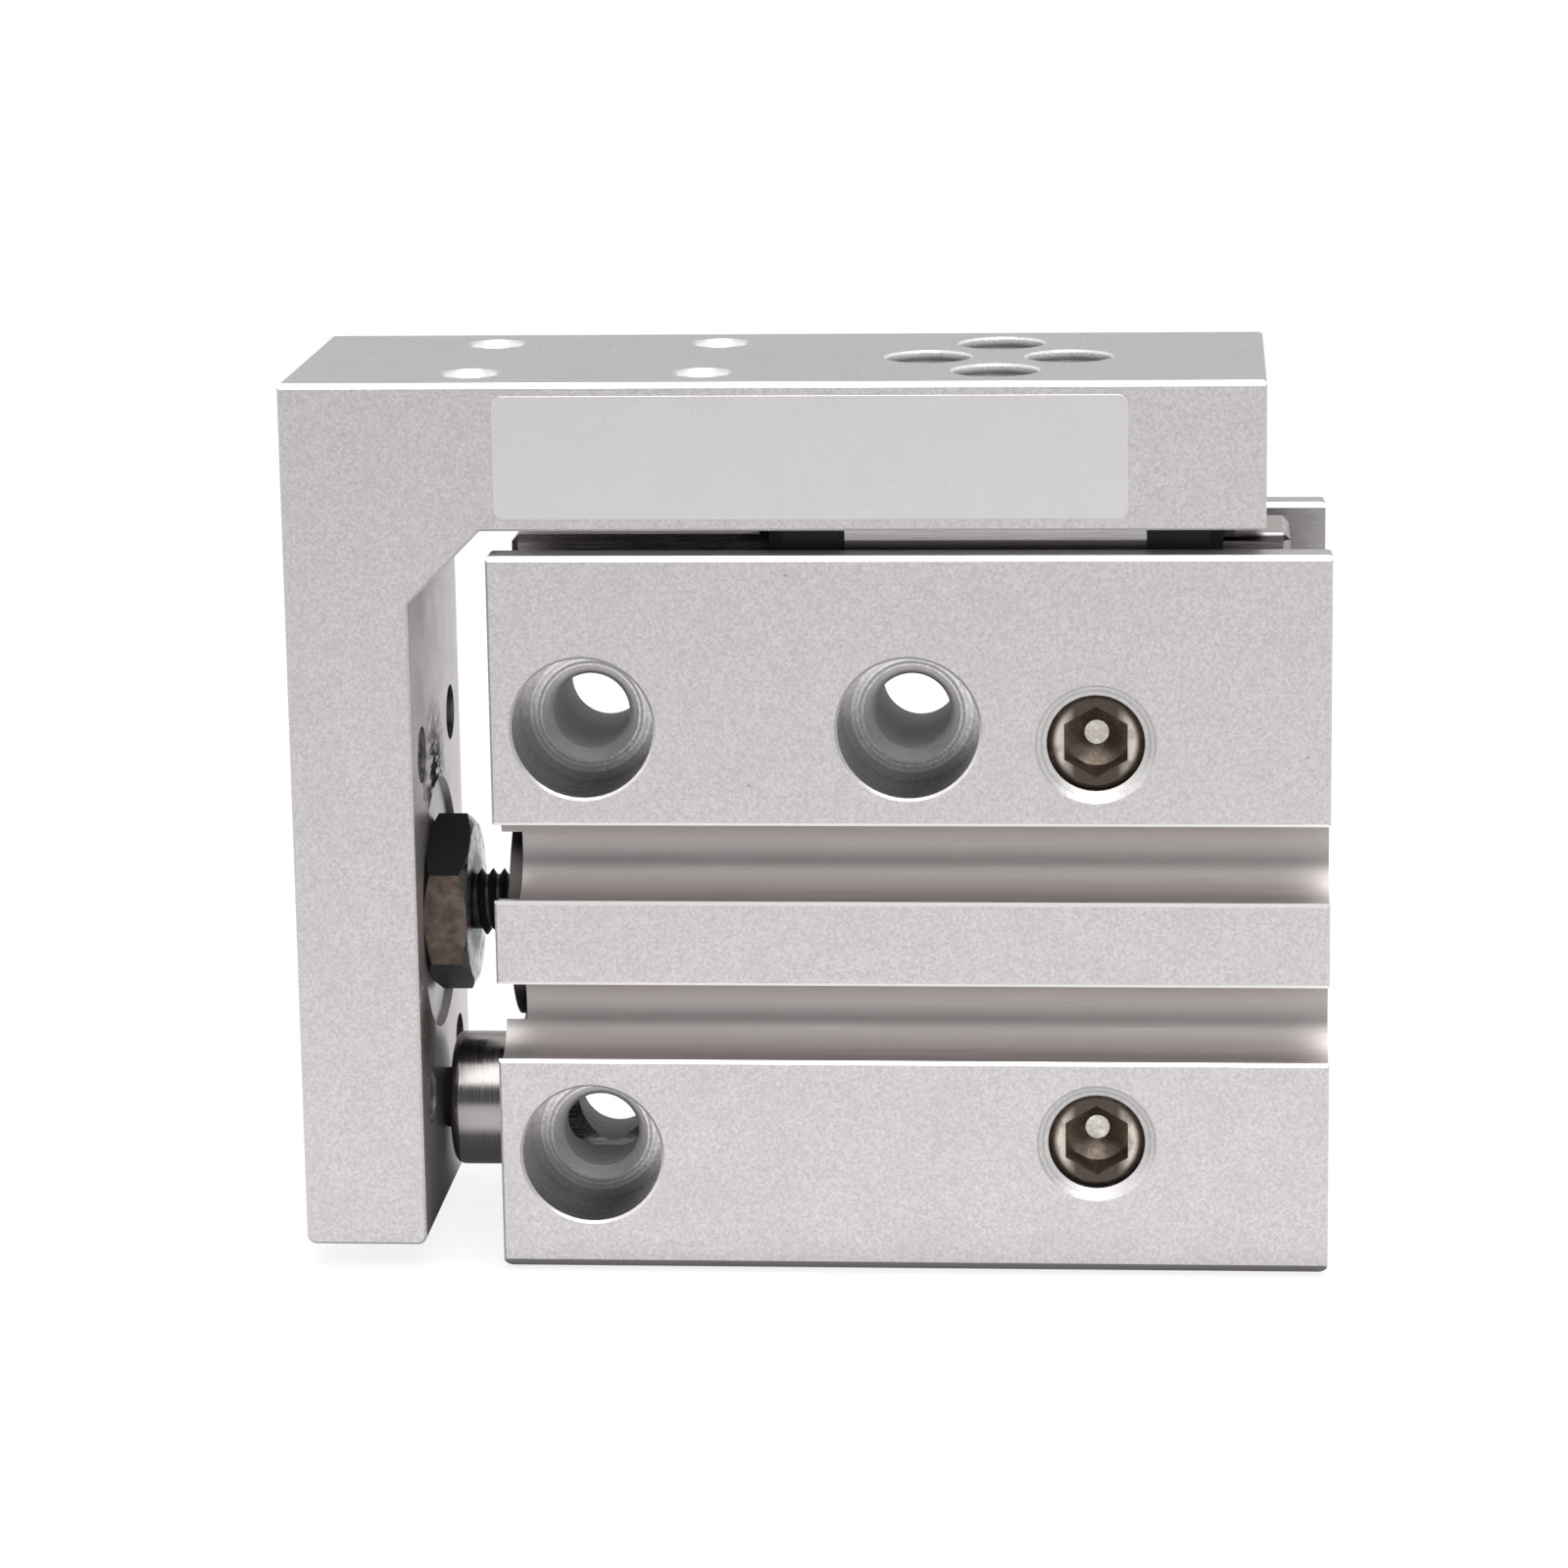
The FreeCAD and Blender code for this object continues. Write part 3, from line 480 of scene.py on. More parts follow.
@dataclass(frozen=True)
class TappedFinish:
    """The wall of an upright tapped hole: near white as a painted highlight, with a relief whose thread
    flanks look up.
    """

    name: str
    colour: Colour
    mouth: float
    pitch: float
    depth: float
    roughness: float = 0.25

    def build(self) -> Material:
        """Returns: the material."""
        graph = ShaderGraph(self.name)
        below = graph.combine("SUBTRACT", self.mouth * MM, graph.along(Axis.UP.value))
        flank = graph.combine("FRACT", graph.combine("DIVIDE", below, self.pitch * MM))
        fine = graph.noise(0.1, 2.0)
        colour = graph.blend(graph.spread(fine, 0.0, 1.0), tinted(self.colour, 0.9), self.colour)
        roughness = graph.varied(fine, self.roughness, 0.05, 0.05)
        return graph.close(colour, roughness, graph.bump(flank, self.depth, 1.0), 1.0)


@dataclass(frozen=True)
class PatchedFinish:
    """Dark treated steel with lighter patches where the coat is gone; on the nut's front flat the brown tint
    and the patches are a painted reflection.
    """

    name: str
    colour: Colour
    patch_colour: Colour
    patch_share: float = 0.45
    patch: float = 0.7
    roughness: float = 0.34
    metallic: float = 0.8
    blur: float = 0.12
    relief: float = 0.008

    def build(self) -> Material:
        """Returns: the material."""
        graph = ShaderGraph(self.name)
        fine = graph.noise(FINE, 2.0)
        edge = 1.0 - self.patch_share
        mask = graph.spread(graph.noise(self.patch, 5.0), 0.0, 1.0, edge, edge + self.blur)
        colour = graph.blend(mask, self.colour, self.patch_colour)
        roughness = graph.varied(fine, self.roughness, 0.08, 0.1)
        return graph.close(colour, roughness, graph.bump(fine, self.relief, 0.3), self.metallic)


@dataclass(frozen=True)
class MouldedFinish:
    """Moulded plastic or rubber with a fine dull grain."""

    name: str
    colour: Colour
    roughness: float = 0.5
    grain: float = 0.1
    gloss: float = 0.3
    relief: float = 0.01

    def build(self) -> Material:
        """Returns: the material."""
        graph = ShaderGraph(self.name)
        grain = graph.noise(self.grain, 3.0)
        lighter: Colour = tuple(c * 1.6 + 0.004 for c in self.colour)
        colour = graph.blend(graph.spread(grain, 0.0, 1.0), self.colour, lighter)
        roughness = graph.varied(grain, self.roughness, 0.06, 0.08)
        return graph.close(colour, roughness, graph.bump(grain, self.relief, 0.3), 0.0, self.gloss)


@dataclass(frozen=True)
class BrightRingFinish:
    """A dark end face with a bright ring, and on a plug only beside its socket."""

    name: str
    colour: Colour
    bright_ring: Colour
    centre: Triple
    axis: Axis
    inner: float
    outer: float
    aside: float = 0.0
    fade: float = 0.1
    patchy: float = 0.9
    patch: float = 0.6
    relief: float = 0.008

    def build(self) -> Material:
        """Returns: the material."""
        graph = ShaderGraph(self.name)
        radius = graph.from_axis(self.centre, self.axis)
        inside = graph.spread(radius, 1.0, 0.0, *around(self.outer, self.fade))
        outside = graph.spread(radius, 0.0, 1.0, *around(self.inner, self.fade))
        patches = graph.spread(graph.noise(self.patch, 4.0), 1.0 - self.patchy, 1.0, 0.36, 0.5)
        mask = graph.product(graph.product(inside, outside), patches)
        if self.aside:
            apart = graph.apart(graph.along(Axis.HEAD.value), self.centre[0])
            mask = graph.product(mask, graph.spread(apart, 0.0, 1.0, *around(self.aside, 0.3)))
        colour = graph.blend(mask, self.colour, self.bright_ring)
        fine = graph.noise(FINE, 2.0)
        roughness = graph.spread(fine, 0.25, 0.4)
        return graph.close(colour, roughness, graph.bump(fine, self.relief, 0.3), 0.9)


@dataclass(frozen=True)
class BoredFinish:
    """A hole's machined wall or floor: tool rings, painted light and shade that change across the hole along
    the light's direction, painted shade in the outer corner on the side away from the light, and painted
    shade lines at given radii on the side toward it.
    """

    name: str
    lower: Colour
    upper: Colour
    centre: Triple
    axis: Axis
    ring: float = 0.16
    contrast: float = 0.5
    roughness: float = 0.3
    metallic: float = 1.0
    lit_from: Triple = (0.45, 0.0, 0.9)
    rise: Pair = (-0.8, 2.4)
    # Radius of the outer corner that takes painted shade on the side away from the light; 0 for none.
    corner: float = 0.0
    # Radii of painted shade lines, shown on the side toward the light.
    marks: tuple[float, ...] = ()
    mark_width: float = 0.08
    mark_depth: float = 0.6
    # Darkens the tool rings and the grain, and colours the painted shade.
    toolmark_and_shade: Colour = (0.03, 0.028, 0.027)
    grain: float = 0.15
    relief: float = 0.02

    def build(self) -> Material:
        """Returns: the material."""
        graph = ShaderGraph(self.name)
        radius = graph.from_axis(self.centre, self.axis)
        rings = self.rings(graph, radius)
        fine = graph.noise(self.grain, 2.0)
        # Painted light: the colour goes from lower to upper along lit_from.
        level = Vector(self.centre).dot(self.lit_from)
        ends = ((level + edge) * MM for edge in self.rise)
        rise = graph.spread(graph.along(self.lit_from), 0.0, 1.0, *ends)
        colour = graph.blend(rise, self.lower, self.upper)
        colour = graph.blend(graph.spread(rings, self.contrast, 0.0), colour, self.toolmark_and_shade)
        colour = graph.blend(graph.spread(fine, 0.0, 0.2), colour, self.toolmark_and_shade)
        # Painted shade toward the outer corner, on the side away from the light.
        if self.corner:
            near = graph.spread(radius, 0.0, 0.3, (self.corner - 1.0) * MM, self.corner * MM)
            unlit = graph.spread(rise, 1.0, 0.0, 0.0, 1.0)
            colour = graph.blend(graph.product(near, unlit), colour, self.toolmark_and_shade)
        # Painted shade lines at given radii, on the side toward the light.
        for mark in self.marks:
            line = graph.spread(graph.apart(radius, mark), self.mark_depth, 0.0, 0.0, self.mark_width * MM)
            colour = graph.blend(graph.product(line, rise), colour, self.toolmark_and_shade)
        roughness = graph.varied(fine, self.roughness, 0.06, 0.06)
        return graph.close(colour, roughness, graph.bump(rings, self.relief, 0.3), self.metallic)

    def rings(self, graph: ShaderGraph, radius: Socket) -> Socket:
        """Rings that follow the distance from the axis and the depth along it.

        Args:
            graph: the tree to add to.
            radius: the distance from the axis.

        Returns: the ring pattern's output.
        """
        total = graph.combine("ADD", radius, graph.along(self.axis.value))
        inputs = {"W": total, "Scale": 1.0 / (self.ring * MM), "Detail": 2.0}
        return graph.add("ShaderNodeTexNoise", inputs, noise_dimensions="1D").outputs["Fac"]


Finish = (SatinFinish | LinedFinish | GradedFinish | TappedFinish | PatchedFinish | MouldedFinish
          | BrightRingFinish | BoredFinish)


@dataclass(frozen=True)
class RoundZone:
    """Faces inside a round bar along one axis."""

    centre: Triple
    axis: Axis
    radius: float
    low: float
    high: float

    def holds(self, middle: Vector, normal: Vector) -> bool:
        """Returns: whether a face lies in the bar, from its middle in millimetres."""
        offset = (middle - Vector(self.centre)) * self.axis.across
        return offset.length < self.radius and self.low < middle.dot(self.axis.vector) < self.high


@dataclass(frozen=True)
class EdgeZone:
    """The chamfers along the long upper edges of a block."""

    top: float
    reach: float = 0.35

    def holds(self, middle: Vector, normal: Vector) -> bool:
        """Returns: whether a face is such a chamfer, from its middle in millimetres."""
        return normal.z > 0.5 and abs(normal.y) > 0.5 and self.top - middle.z < self.reach


@dataclass(frozen=True)
class BoxZone:
    """Faces inside a box."""

    low: Triple
    high: Triple

    def holds(self, middle: Vector, normal: Vector) -> bool:
        """Returns: whether a face lies in the box, from its middle in millimetres."""
        return all(a < m < b for m, a, b in zip(middle, self.low, self.high))


@dataclass(frozen=True)
class FacingZone:
    """Faces that look along one direction, on one side of a plane across it."""

    toward: Axis
    beyond: float
    turn: float = 0.8

    def holds(self, middle: Vector, normal: Vector) -> bool:
        """Returns: whether a face looks that way, from its middle in millimetres."""
        along = self.toward.vector
        return normal.dot(along) > self.turn and middle.dot(along) > self.beyond


Zone = RoundZone | EdgeZone | BoxZone | FacingZone
Zones = list[tuple[Zone, Finish]]


class FinishBook:
    """Every finish of the part, each built into a material once."""

    def __init__(self) -> None:
        """Lists the finishes."""
        table_top = corners("slide_table")[1].z
        rail_top = corners("guide_rail")[1].z
        self.bore_z: float = sum(corner.z for corner in corners("piston_rod")) / 2
        self.made: dict[str, Material] = {}
        self.satin = SatinFinish("satin_aluminium", (0.555, 0.532, 0.531), contrast=0.16)
        # The leg's inner face: a dark smudge with relief, a darker patch lower down, and a wide, nearly solid
        # patch of painted shade that darkens the face toward the bottom.
        self.stained_and_shaded = SatinFinish("stained_and_shaded_aluminium", (0.555, 0.519, 0.512), contrast=0.16, stains_and_shade=(
            StainAndShade((-21.4, -0.8, 20.6), 3.6, 0.52, (0.03, 0.025, 0.021), depth=0.35),
            StainAndShade((-21.4, -5.5, 10.2), 4.6, 0.66, (0.09, 0.08, 0.075), 0.9, 0.04),
            StainAndShade((-21.4, -5.0, -1.0), 12.0, 0.9, (0.13, 0.12, 0.118))))
        self.label = SatinFinish(
            "label_film", (0.64, 0.62, 0.625), contrast=0.03, roughness=0.34, relief=0.003, speck=0.0)
        # Near-white, barely metallic aluminium on the grooves' upper lips: a painted highlight.
        self.highlight_lip = SatinFinish("highlight_lip", (0.95, 0.94, 0.94), contrast=0.04, metallic=0.2, speck=0.0)
        self.cut = LinedFinish("cut_aluminium", (0.74, 0.72, 0.72), roughness=0.34)
        # Darker aluminium on the downward faces along the housing's base: painted shade.
        self.shaded_base_edge = LinedFinish("shaded_base_edge", (0.33, 0.315, 0.31), roughness=0.4)
        self.milled = LinedFinish("milled_aluminium", (0.46, 0.445, 0.44), Lines.MILLED, 0.32)
        self.turned_aluminium = LinedFinish("turned_aluminium", (0.5, 0.48, 0.48), Lines.TURNED, 0.3)
        self.cover = LinedFinish("turned_cover", (0.1, 0.096, 0.094), Lines.FACED, 0.45)
        self.ground = LinedFinish("ground_steel", (0.34, 0.325, 0.32), Lines.DRAWN, 0.26, 0.2)
        # Lighter, pinkish copies of the ground steel on the rail's top and front faces: painted reflection.
        self.rail_top = LinedFinish("rail_top", (0.52, 0.47, 0.455), Lines.DRAWN, 0.26)
        self.painted_light_rail_side = LinedFinish("painted_light_rail_side", (0.62, 0.585, 0.575), Lines.DRAWN, 0.26, 0.2)
        self.polished = LinedFinish("polished_steel", (0.55, 0.55, 0.55), roughness=0.12)
        self.turned = LinedFinish("turned_stainless", (0.34, 0.322, 0.317), Lines.TURNED, 0.2)
        self.screw_head = LinedFinish("screw_head", (0.5, 0.485, 0.48), Lines.UPRIGHT)
        self.screw = LinedFinish("screw_steel", (0.3, 0.29, 0.285), Lines.UPRIGHT)
        # The rail's top edges: painted shade below a height and a painted highlight above it, the height
        # changing along X.
        self.painted_light_rail_edge = GradedFinish(
            "painted_light_rail_edge", (0.035, 0.032, 0.031), (0.7, 0.67, 0.66), rail_top - 0.37, 0.07, Lines.DRAWN, 0.26,
            contrast=0.1, lean=0.02)
        # Walls of the table's screw counterbores: painted shade deep down and painted light, near white,
        # toward the mouth.
        self.painted_light_sunk_wall = GradedFinish(
            "painted_light_sunk_wall", (0.2, 0.203, 0.21), (0.95, 0.95, 0.95), table_top - 0.23, 0.1, metallic=0.3)
        self.carriage = GradedFinish(
            "carriage_steel", (0.1, 0.092, 0.09), (0.6, 0.58, 0.575), rail_top + 0.27, 0.04, Lines.DRAWN)
        # Near-white walls of the table's tapped holes: a painted highlight.
        self.tapped = TappedFinish("tapped_wall_highlight", (0.95, 0.95, 0.95), table_top, 0.5, 0.4)
        self.black = PatchedFinish(
            "black_oxide", (0.022, 0.021, 0.021), (0.045, 0.04, 0.036), 0.4, 0.7, 0.45, 0.25, 0.3)
        # The nut's flat that faces front: a brown tint with lighter patches, a painted reflection.
        self.reflection_tinted = PatchedFinish(
            "painted_reflection_flat", (0.09, 0.07, 0.058), (0.24, 0.185, 0.148), 0.6, 0.9, 0.4, blur=0.35)
        self.plug = PatchedFinish("plug_oxide", (0.15, 0.115, 0.09), (0.3, 0.245, 0.2), 0.5, 0.5, 0.3, 0.7, 0.3)
        self.plug_tip = PatchedFinish("plug_tip", (0.55, 0.51, 0.47), (0.75, 0.72, 0.69), 0.5, 0.4, 0.3, 0.95)
        self.magnet = PatchedFinish("magnet_grey", (0.05, 0.05, 0.05), (0.09, 0.085, 0.08))
        # The nut's end face: a painted highlight ring with dark scratches.
        self.scratched_highlight = BrightRingFinish(
            "scratched_highlight_face", (0.02, 0.019, 0.019), (0.92, 0.91, 0.9), (0.0, 0.0, self.bore_z),
            Axis.HEAD, 2.3, 9.0, fade=0.3)
        self.plastic = MouldedFinish("moulded_black", (0.008, 0.008, 0.011), 0.42)
        self.rubber = MouldedFinish("rubber_black", (0.010, 0.010, 0.010), 0.75)

    def bored(self, name: str, centre: Iterable[float], lower: float = 0.48, upper: float = 0.48,
              axis: Axis = Axis.BACK, **settings: object) -> BoredFinish:
        """Describes the finish of one hole.

        Args:
            name: which hole.
            centre: a point on its axis in millimetres.
            lower: how light the hole is on its lower side; a lower unlike upper makes painted light and
                shade.
            upper: how light it is on the upper side.
            axis: the direction of its axis.
            settings: other fields of the finish.

        Returns: the hole's finish.
        """
        shades = [(shade, shade * 0.97, shade * 0.965) for shade in (lower, upper)]
        return BoredFinish(f"bored_{name}", *shades, tuple(centre), axis, **settings)

    def material(self, finish: Finish) -> Material:
        """Returns: a finish's material, made when it is first asked for."""
        if finish.name not in self.made:
            self.made[finish.name] = finish.build()
        return self.made[finish.name]


@dataclass(frozen=True)
class Thread:
    """A helical ridge of a screw thread, outside or inside."""

    root: float
    crest: float
    pitch: float
    steps: int = 20
    half_width: float = 0.42

    def cut(self, shape: Shape, start: Vector, along: Axis, length: float) -> None:
        """Adds the ridge to a shape.

        Args:
            shape: the shape to add to.
            start: where the ridge starts on its axis, in millimetres.
            along: the direction that it runs in.
            length: its length along the axis, in millimetres.
        """
        outward = along.vector.orthogonal().normalized()
        turns = length / self.pitch - 1.0
        width = self.half_width * self.pitch
        outline = [(-width, self.root), (0.0, self.crest), (width, self.root)]
        first = start + along.vector * (self.pitch / 2)
        section = [shape.verts.new((first + along.vector * a + outward * r) * MM) for a, r in outline]
        edges = [shape.edges.new((section[i], section[i - 1])) for i in range(3)]
        bmesh.ops.contextual_create(shape, geom=edges)
        steps = max(3, int(turns * self.steps))
        swept = bmesh.ops.spin(
            shape, geom=[*section, *edges], cent=start * MM, axis=along.vector,
            dvec=along.vector * (turns * self.pitch * MM / steps), angle=turns * 2.0 * math.pi, steps=steps)
        last = [item for item in swept["geom_last"] if isinstance(item, bmesh.types.BMEdge)]
        bmesh.ops.contextual_create(shape, geom=last)


M3_INSIDE = Thread(1.27, 1.12, 0.5)
M5_INSIDE = Thread(2.12, 1.94, 0.8, 28)
M3_OUTSIDE = Thread(1.2, 1.5, 0.5, 28)


def rectangle(wide: float, tall: float) -> Shape:
    """Returns: a flat rectangle round the origin, in metres."""
    shape = bmesh.new()
    bmesh.ops.create_grid(shape, x_segments=1, y_segments=1, size=0.5)
    bmesh.ops.scale(shape, verts=shape.verts, vec=(wide, tall, 1.0))
    return shape


def put(name: str, shape: Shape, material: Material) -> bpy.types.Object:
    """Turns a shape into an object at the origin.

    Args:
        name: the object's name.
        shape: its shape in metres, which is used up.
        material: its material.

    Returns: the object.
    """
    mesh = bpy.data.meshes.new(name)
    shape.to_mesh(mesh)
    shape.free()
    mesh.materials.append(material)
    made = bpy.data.objects.new(name, mesh)
    bpy.context.scene.collection.objects.link(made)
    return made


@dataclass
class Assembly:
    """What every sub-assembly shares: the finishes and the ways to dress and add pieces."""

    book: FinishBook

    def dress(self, node: str, finish: Finish, *zones: tuple[Zone, Finish]) -> None:
        """Gives a CAD node its finish, and other finishes to the faces in some zones.

        Args:
            node: the node's name.
            finish: the finish.
            zones: zones with their finishes; a face takes the first zone that holds it.
        """
        mesh = frame["nodes"][node].data
        mesh.materials.clear()
        for used in (finish, *(other for _, other in zones)):
            mesh.materials.append(self.book.material(used))
        for face in mesh.polygons:
            middle = face.center / MM
            held = (i for i, (zone, _) in enumerate(zones, 1) if zone.holds(middle, face.normal))
            face.material_index = next(held, 0)
        log.info("dressed %s in %s and %d zones", node, finish.name, len(zones))

    def dress_all(self, finish: Finish, *nodes: str) -> None:
        """Gives several CAD nodes one finish."""
        for node in nodes:
            self.dress(node, finish)

    def piece(self, name: str, shape: Shape, finish: Finish, body: Body, slot: Slot) -> None:
        """Turns a shape into a flat-shaded piece of the object.

        Args:
            name: the piece's name.
            shape: its shape, in metres in the CAD frame.
            finish: its finish.
            body: the CAD body that it rides on.
            slot: the record's material slot; not used.
        """
        bmesh.ops.recalc_face_normals(shape, faces=shape.faces)
        for face in shape.faces:
            face.smooth = False
        made = put(name, shape, self.book.material(finish))
        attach(made, body.value)
        log.info("added %s with %d faces", name, len(made.data.polygons))

    def tap(self, name: str, thread: Thread, mouths: Iterable[Vector], along: Axis, run: Pair,
            body: Body) -> None:
        """Adds the threads of some tapped holes as one piece.

        Args:
            name: the piece's name.
            thread: the thread.
            mouths: the middle of each hole's mouth, in millimetres.
            along: the direction into the holes.
            run: how far in the ridges start, and their length, in millimetres.
            body: the CAD body that the piece rides on.
        """
        inset, length = run
        shape = bmesh.new()
        for mouth in mouths:
            thread.cut(shape, mouth + along.vector * inset, along, length)
        self.piece(name, shape, self.book.turned_aluminium, body, Slot.ALUMINIUM)


@dataclass
class HousingBlock(Assembly):
    """The cylinder block with its ports, plugs, covers and stop."""

    # Radius and inset of a counterbored hole's depth, step, floor, walls and rim.
    sunk_rings: tuple[Pair, ...] = ((1.68, SKIN), (2.1, 3.41), (3.04, SKIN), (3.06, 0.13), (3.2, SKIN))
    sunk_radius: float = 3.05
    port_radius: float = 2.11
    port_rim: float = 2.7
    plug_tip: float = 0.54
    plug_tip_y: Pair = (-5.0, -4.85)
    plug_face: float = 6.9
    plug_ring: Triple = (0.9, 1.75, 1.2)
    grooves_z: Pair = (18.25, 11.15)
    groove_y: float = -6.27
    groove_radius: float = 2.0
    # How far below each groove's middle its painted light starts, and over what fade.
    groove_light_fade: Pair = (1.15, 0.5)
    # Shade of each groove's lower lip: the first is darkened below the cut aluminium's as painted shade; the
    # second is the cut aluminium's.
    lip_shades: Pair = (0.28, 0.74)
    lip_rise: Pair = (1.0, 2.3)
    lip_depth: float = 0.3
    recess_radius: float = 6.12
    recess_end: float = -17.0
    bore_radius: float = 4.5
    channel_y: float = 5.75
    channel_z: Pair = (28.0, 31.3)
    shaded_base_edge: float = 0.45
    base_thread: Pair = (0.15, 4.2)
    port_thread: Pair = (0.5, 4.8)

    def __post_init__(self) -> None:
        """Finds the block's corners and ports in the frame."""
        self.low, self.high = corners("housing")
        self.ports = [mount_places(name)[0] for name in ("port_upper", "port_lower")]

    def build(self) -> None:
        """Dresses the housing's nodes and adds its threads."""
        self.dress("housing", self.book.satin, *self.bore_zones(), *self.port_zones(),
                   *self.groove_zones(), *self.block_zones())
        self.plugs()
        self.dress("rod_cover", self.book.cover)
        self.dress_all(self.book.turned_aluminium, "head_cap", "piston")
        self.dress_all(self.book.rubber, "rod_cover_ring", "head_cap_ring", "rod_seal", "rod_bumper",
                       "head_bumper", "piston_seal", "stop_bumper")
        self.dress("passage_plugs", self.book.screw)
        self.dress("stop_bolt", self.book.turned)
        self.dress("head_snap_ring", self.book.black)
        self.dress("piston_magnet", self.book.magnet)
        self.threads()

    def through(self, place: Vector, radius: float, inset: float = SKIN) -> RoundZone:
        """Returns: the zone of a hole from front to back, less an inset at both ends."""
        return RoundZone(tuple(place), Axis.BACK, radius, self.low.y + inset, self.high.y - inset)

    def bore_zones(self) -> Zones:
        """Returns: the zones of the counterbored holes with their finishes."""
        row = mount_places("side_holes_row")
        column = mount_places("side_holes_column")
        holes = row + [place for place in column if all((place - known).length > 1.0 for known in row)]
        bored = self.book.bored
        light = (0.3, 0.0, 1.0)
        zones: Zones = []
        for number, place in enumerate(holes, 1):
            # Painted light and shade: the step, floor and wall are lighter toward the light, the step has a
            # painted shade line at the through hole, the floor painted shade in its outer corner, and the rim
            # a painted highlight on its lower side; the deep bore is one tone.
            finishes = (
                bored(f"deep_{number}", place, 0.7, 0.7, roughness=0.7, metallic=0.2),
                bored(f"step_{number}", place, 0.42, 0.95, roughness=0.4, metallic=0.2, contrast=0.2,
                      lit_from=light, rise=(-1.2, 1.6), marks=(1.7,), mark_width=0.25, mark_depth=0.95),
                bored(f"sunk_floor_{number}", place, 0.42, 0.98, marks=(2.24,), mark_width=0.1,
                      corner=self.sunk_radius, lit_from=light, rise=(-1.4, 1.8)),
                bored(f"painted_light_sunk_wall_{number}", place, 0.44, 0.95, lit_from=light, rise=(-3.1, -0.5)),
                bored(f"sunk_rim_{number}", place, 0.95, 0.42, contrast=0.1, metallic=0.2,
                      lit_from=(-0.4, 0.0, 1.0), rise=(-2.6, -0.6)))
            for (radius, inset), finish in zip(self.sunk_rings, finishes):
                zones.append((self.through(place, radius, inset), finish))
        return zones

    def port_zones(self) -> Zones:
        """Returns: the zones of the ports with their finishes."""
        zones: Zones = []
        for number, place in enumerate(self.ports, 1):
            # The rim is painted lighter on its lower side, a painted highlight, with painted shade lines at
            # its edges on the upper side.
            rim = self.book.bored(
                f"port_rim_{number}", place, 0.9, 0.56, contrast=0.1, roughness=0.36, metallic=0.3,
                marks=(2.55, 2.32), mark_depth=0.3, lit_from=(-0.3, 0.0, 1.0), rise=(-2.3, -1.0))
            zones.append((self.through(place, self.port_radius), self.book.bored(f"port_{number}", place)))
            zones.append((self.through(place, self.port_rim), rim))
        return zones

    def groove_zones(self) -> Zones:
        """Returns: the zones of the sensor grooves and their lips with their finishes."""
        front = self.low.y
        below, fade = self.groove_light_fade
        zones: Zones = []
        for number, (z, shade) in enumerate(zip(self.grooves_z, self.lip_shades), 1):
            lip = LinedFinish(f"groove_lip_{number}", (shade, shade * 0.97, shade * 0.97), roughness=0.34)
            # Lighter below a height than above it: painted light on the groove's lower wall.
            drawn = GradedFinish(
                f"drawn_groove_lit_below_{number}", (0.72, 0.675, 0.664), (0.412, 0.386, 0.379), z - below, fade,
                Lines.DRAWN, 0.46, line=0.12, contrast=0.1)
            place = (0.0, self.groove_y, z)
            bar = RoundZone(place, Axis.HEAD, self.groove_radius, self.low.x, self.high.x)
            zones.append((bar, drawn))
            # Each upper lip takes the painted highlight, each lower lip its own shade.
            for side, finish in ((1.0, self.book.highlight_lip), (-1.0, lip)):
                low, high = sorted(z + side * rise for rise in self.lip_rise)
                box = BoxZone((-FAR, front + SKIN, low), (FAR, front + self.lip_depth, high))
                zones.append((box, finish))
        return zones

    def block_zones(self) -> Zones:
        """Returns: the zones of the bore's ends, the edges and the channel with their finishes."""
        centre = (0.0, 0.0, self.book.bore_z)
        axis = Axis.HEAD
        # The rod's recess and the bore inside the housing are nearly black: painted shade.
        recess = self.book.bored("rod_recess_shade", centre, 0.1, 0.1, axis)
        floor, top = self.channel_z
        return [
            (RoundZone(centre, axis, self.recess_radius, self.low.x + SKIN, self.recess_end), recess),
            (RoundZone(centre, axis, self.bore_radius, self.recess_end, self.high.x - SKIN), recess),
            (EdgeZone(self.high.z), self.book.cut),
            (FacingZone(Axis.DOWN, -self.shaded_base_edge, 0.5), self.book.shaded_base_edge),
            (BoxZone((-FAR, -self.channel_y, floor), (FAR, self.channel_y, top)), self.book.milled)]

    def plugs(self) -> None:
        """Dresses the plugs of the front ports."""
        face = FacingZone(Axis.FRONT, self.plug_face)
        for name, place in zip(("port_plug_upper", "port_plug_lower"), self.ports):
            tip = RoundZone(tuple(place), Axis.BACK, self.plug_tip, *self.plug_tip_y)
            # Darker than the plug's oxide outside a ring of lighter patches beside the socket: painted shadow
            # of the recess.
            bright_ring = BrightRingFinish(
                f"{name}_face", (0.075, 0.06, 0.049), (0.6, 0.54, 0.47), tuple(place), Axis.BACK,
                *self.plug_ring, patchy=0.45)
            self.dress(name, self.book.plug, (tip, self.book.plug_tip), (face, bright_ring))

    def threads(self) -> None:
        """Adds the threads of the base holes and of the rear ports."""
        rear = [Vector((place.x, self.high.y, place.z)) for place in self.ports]
        self.tap("base_hole_threads", M3_INSIDE, mount_places("base_holes"), Axis.UP, self.base_thread,
                 Body.HOUSING)
        self.tap("rear_port_threads", M5_INSIDE, rear, Axis.FRONT, self.port_thread, Body.HOUSING)


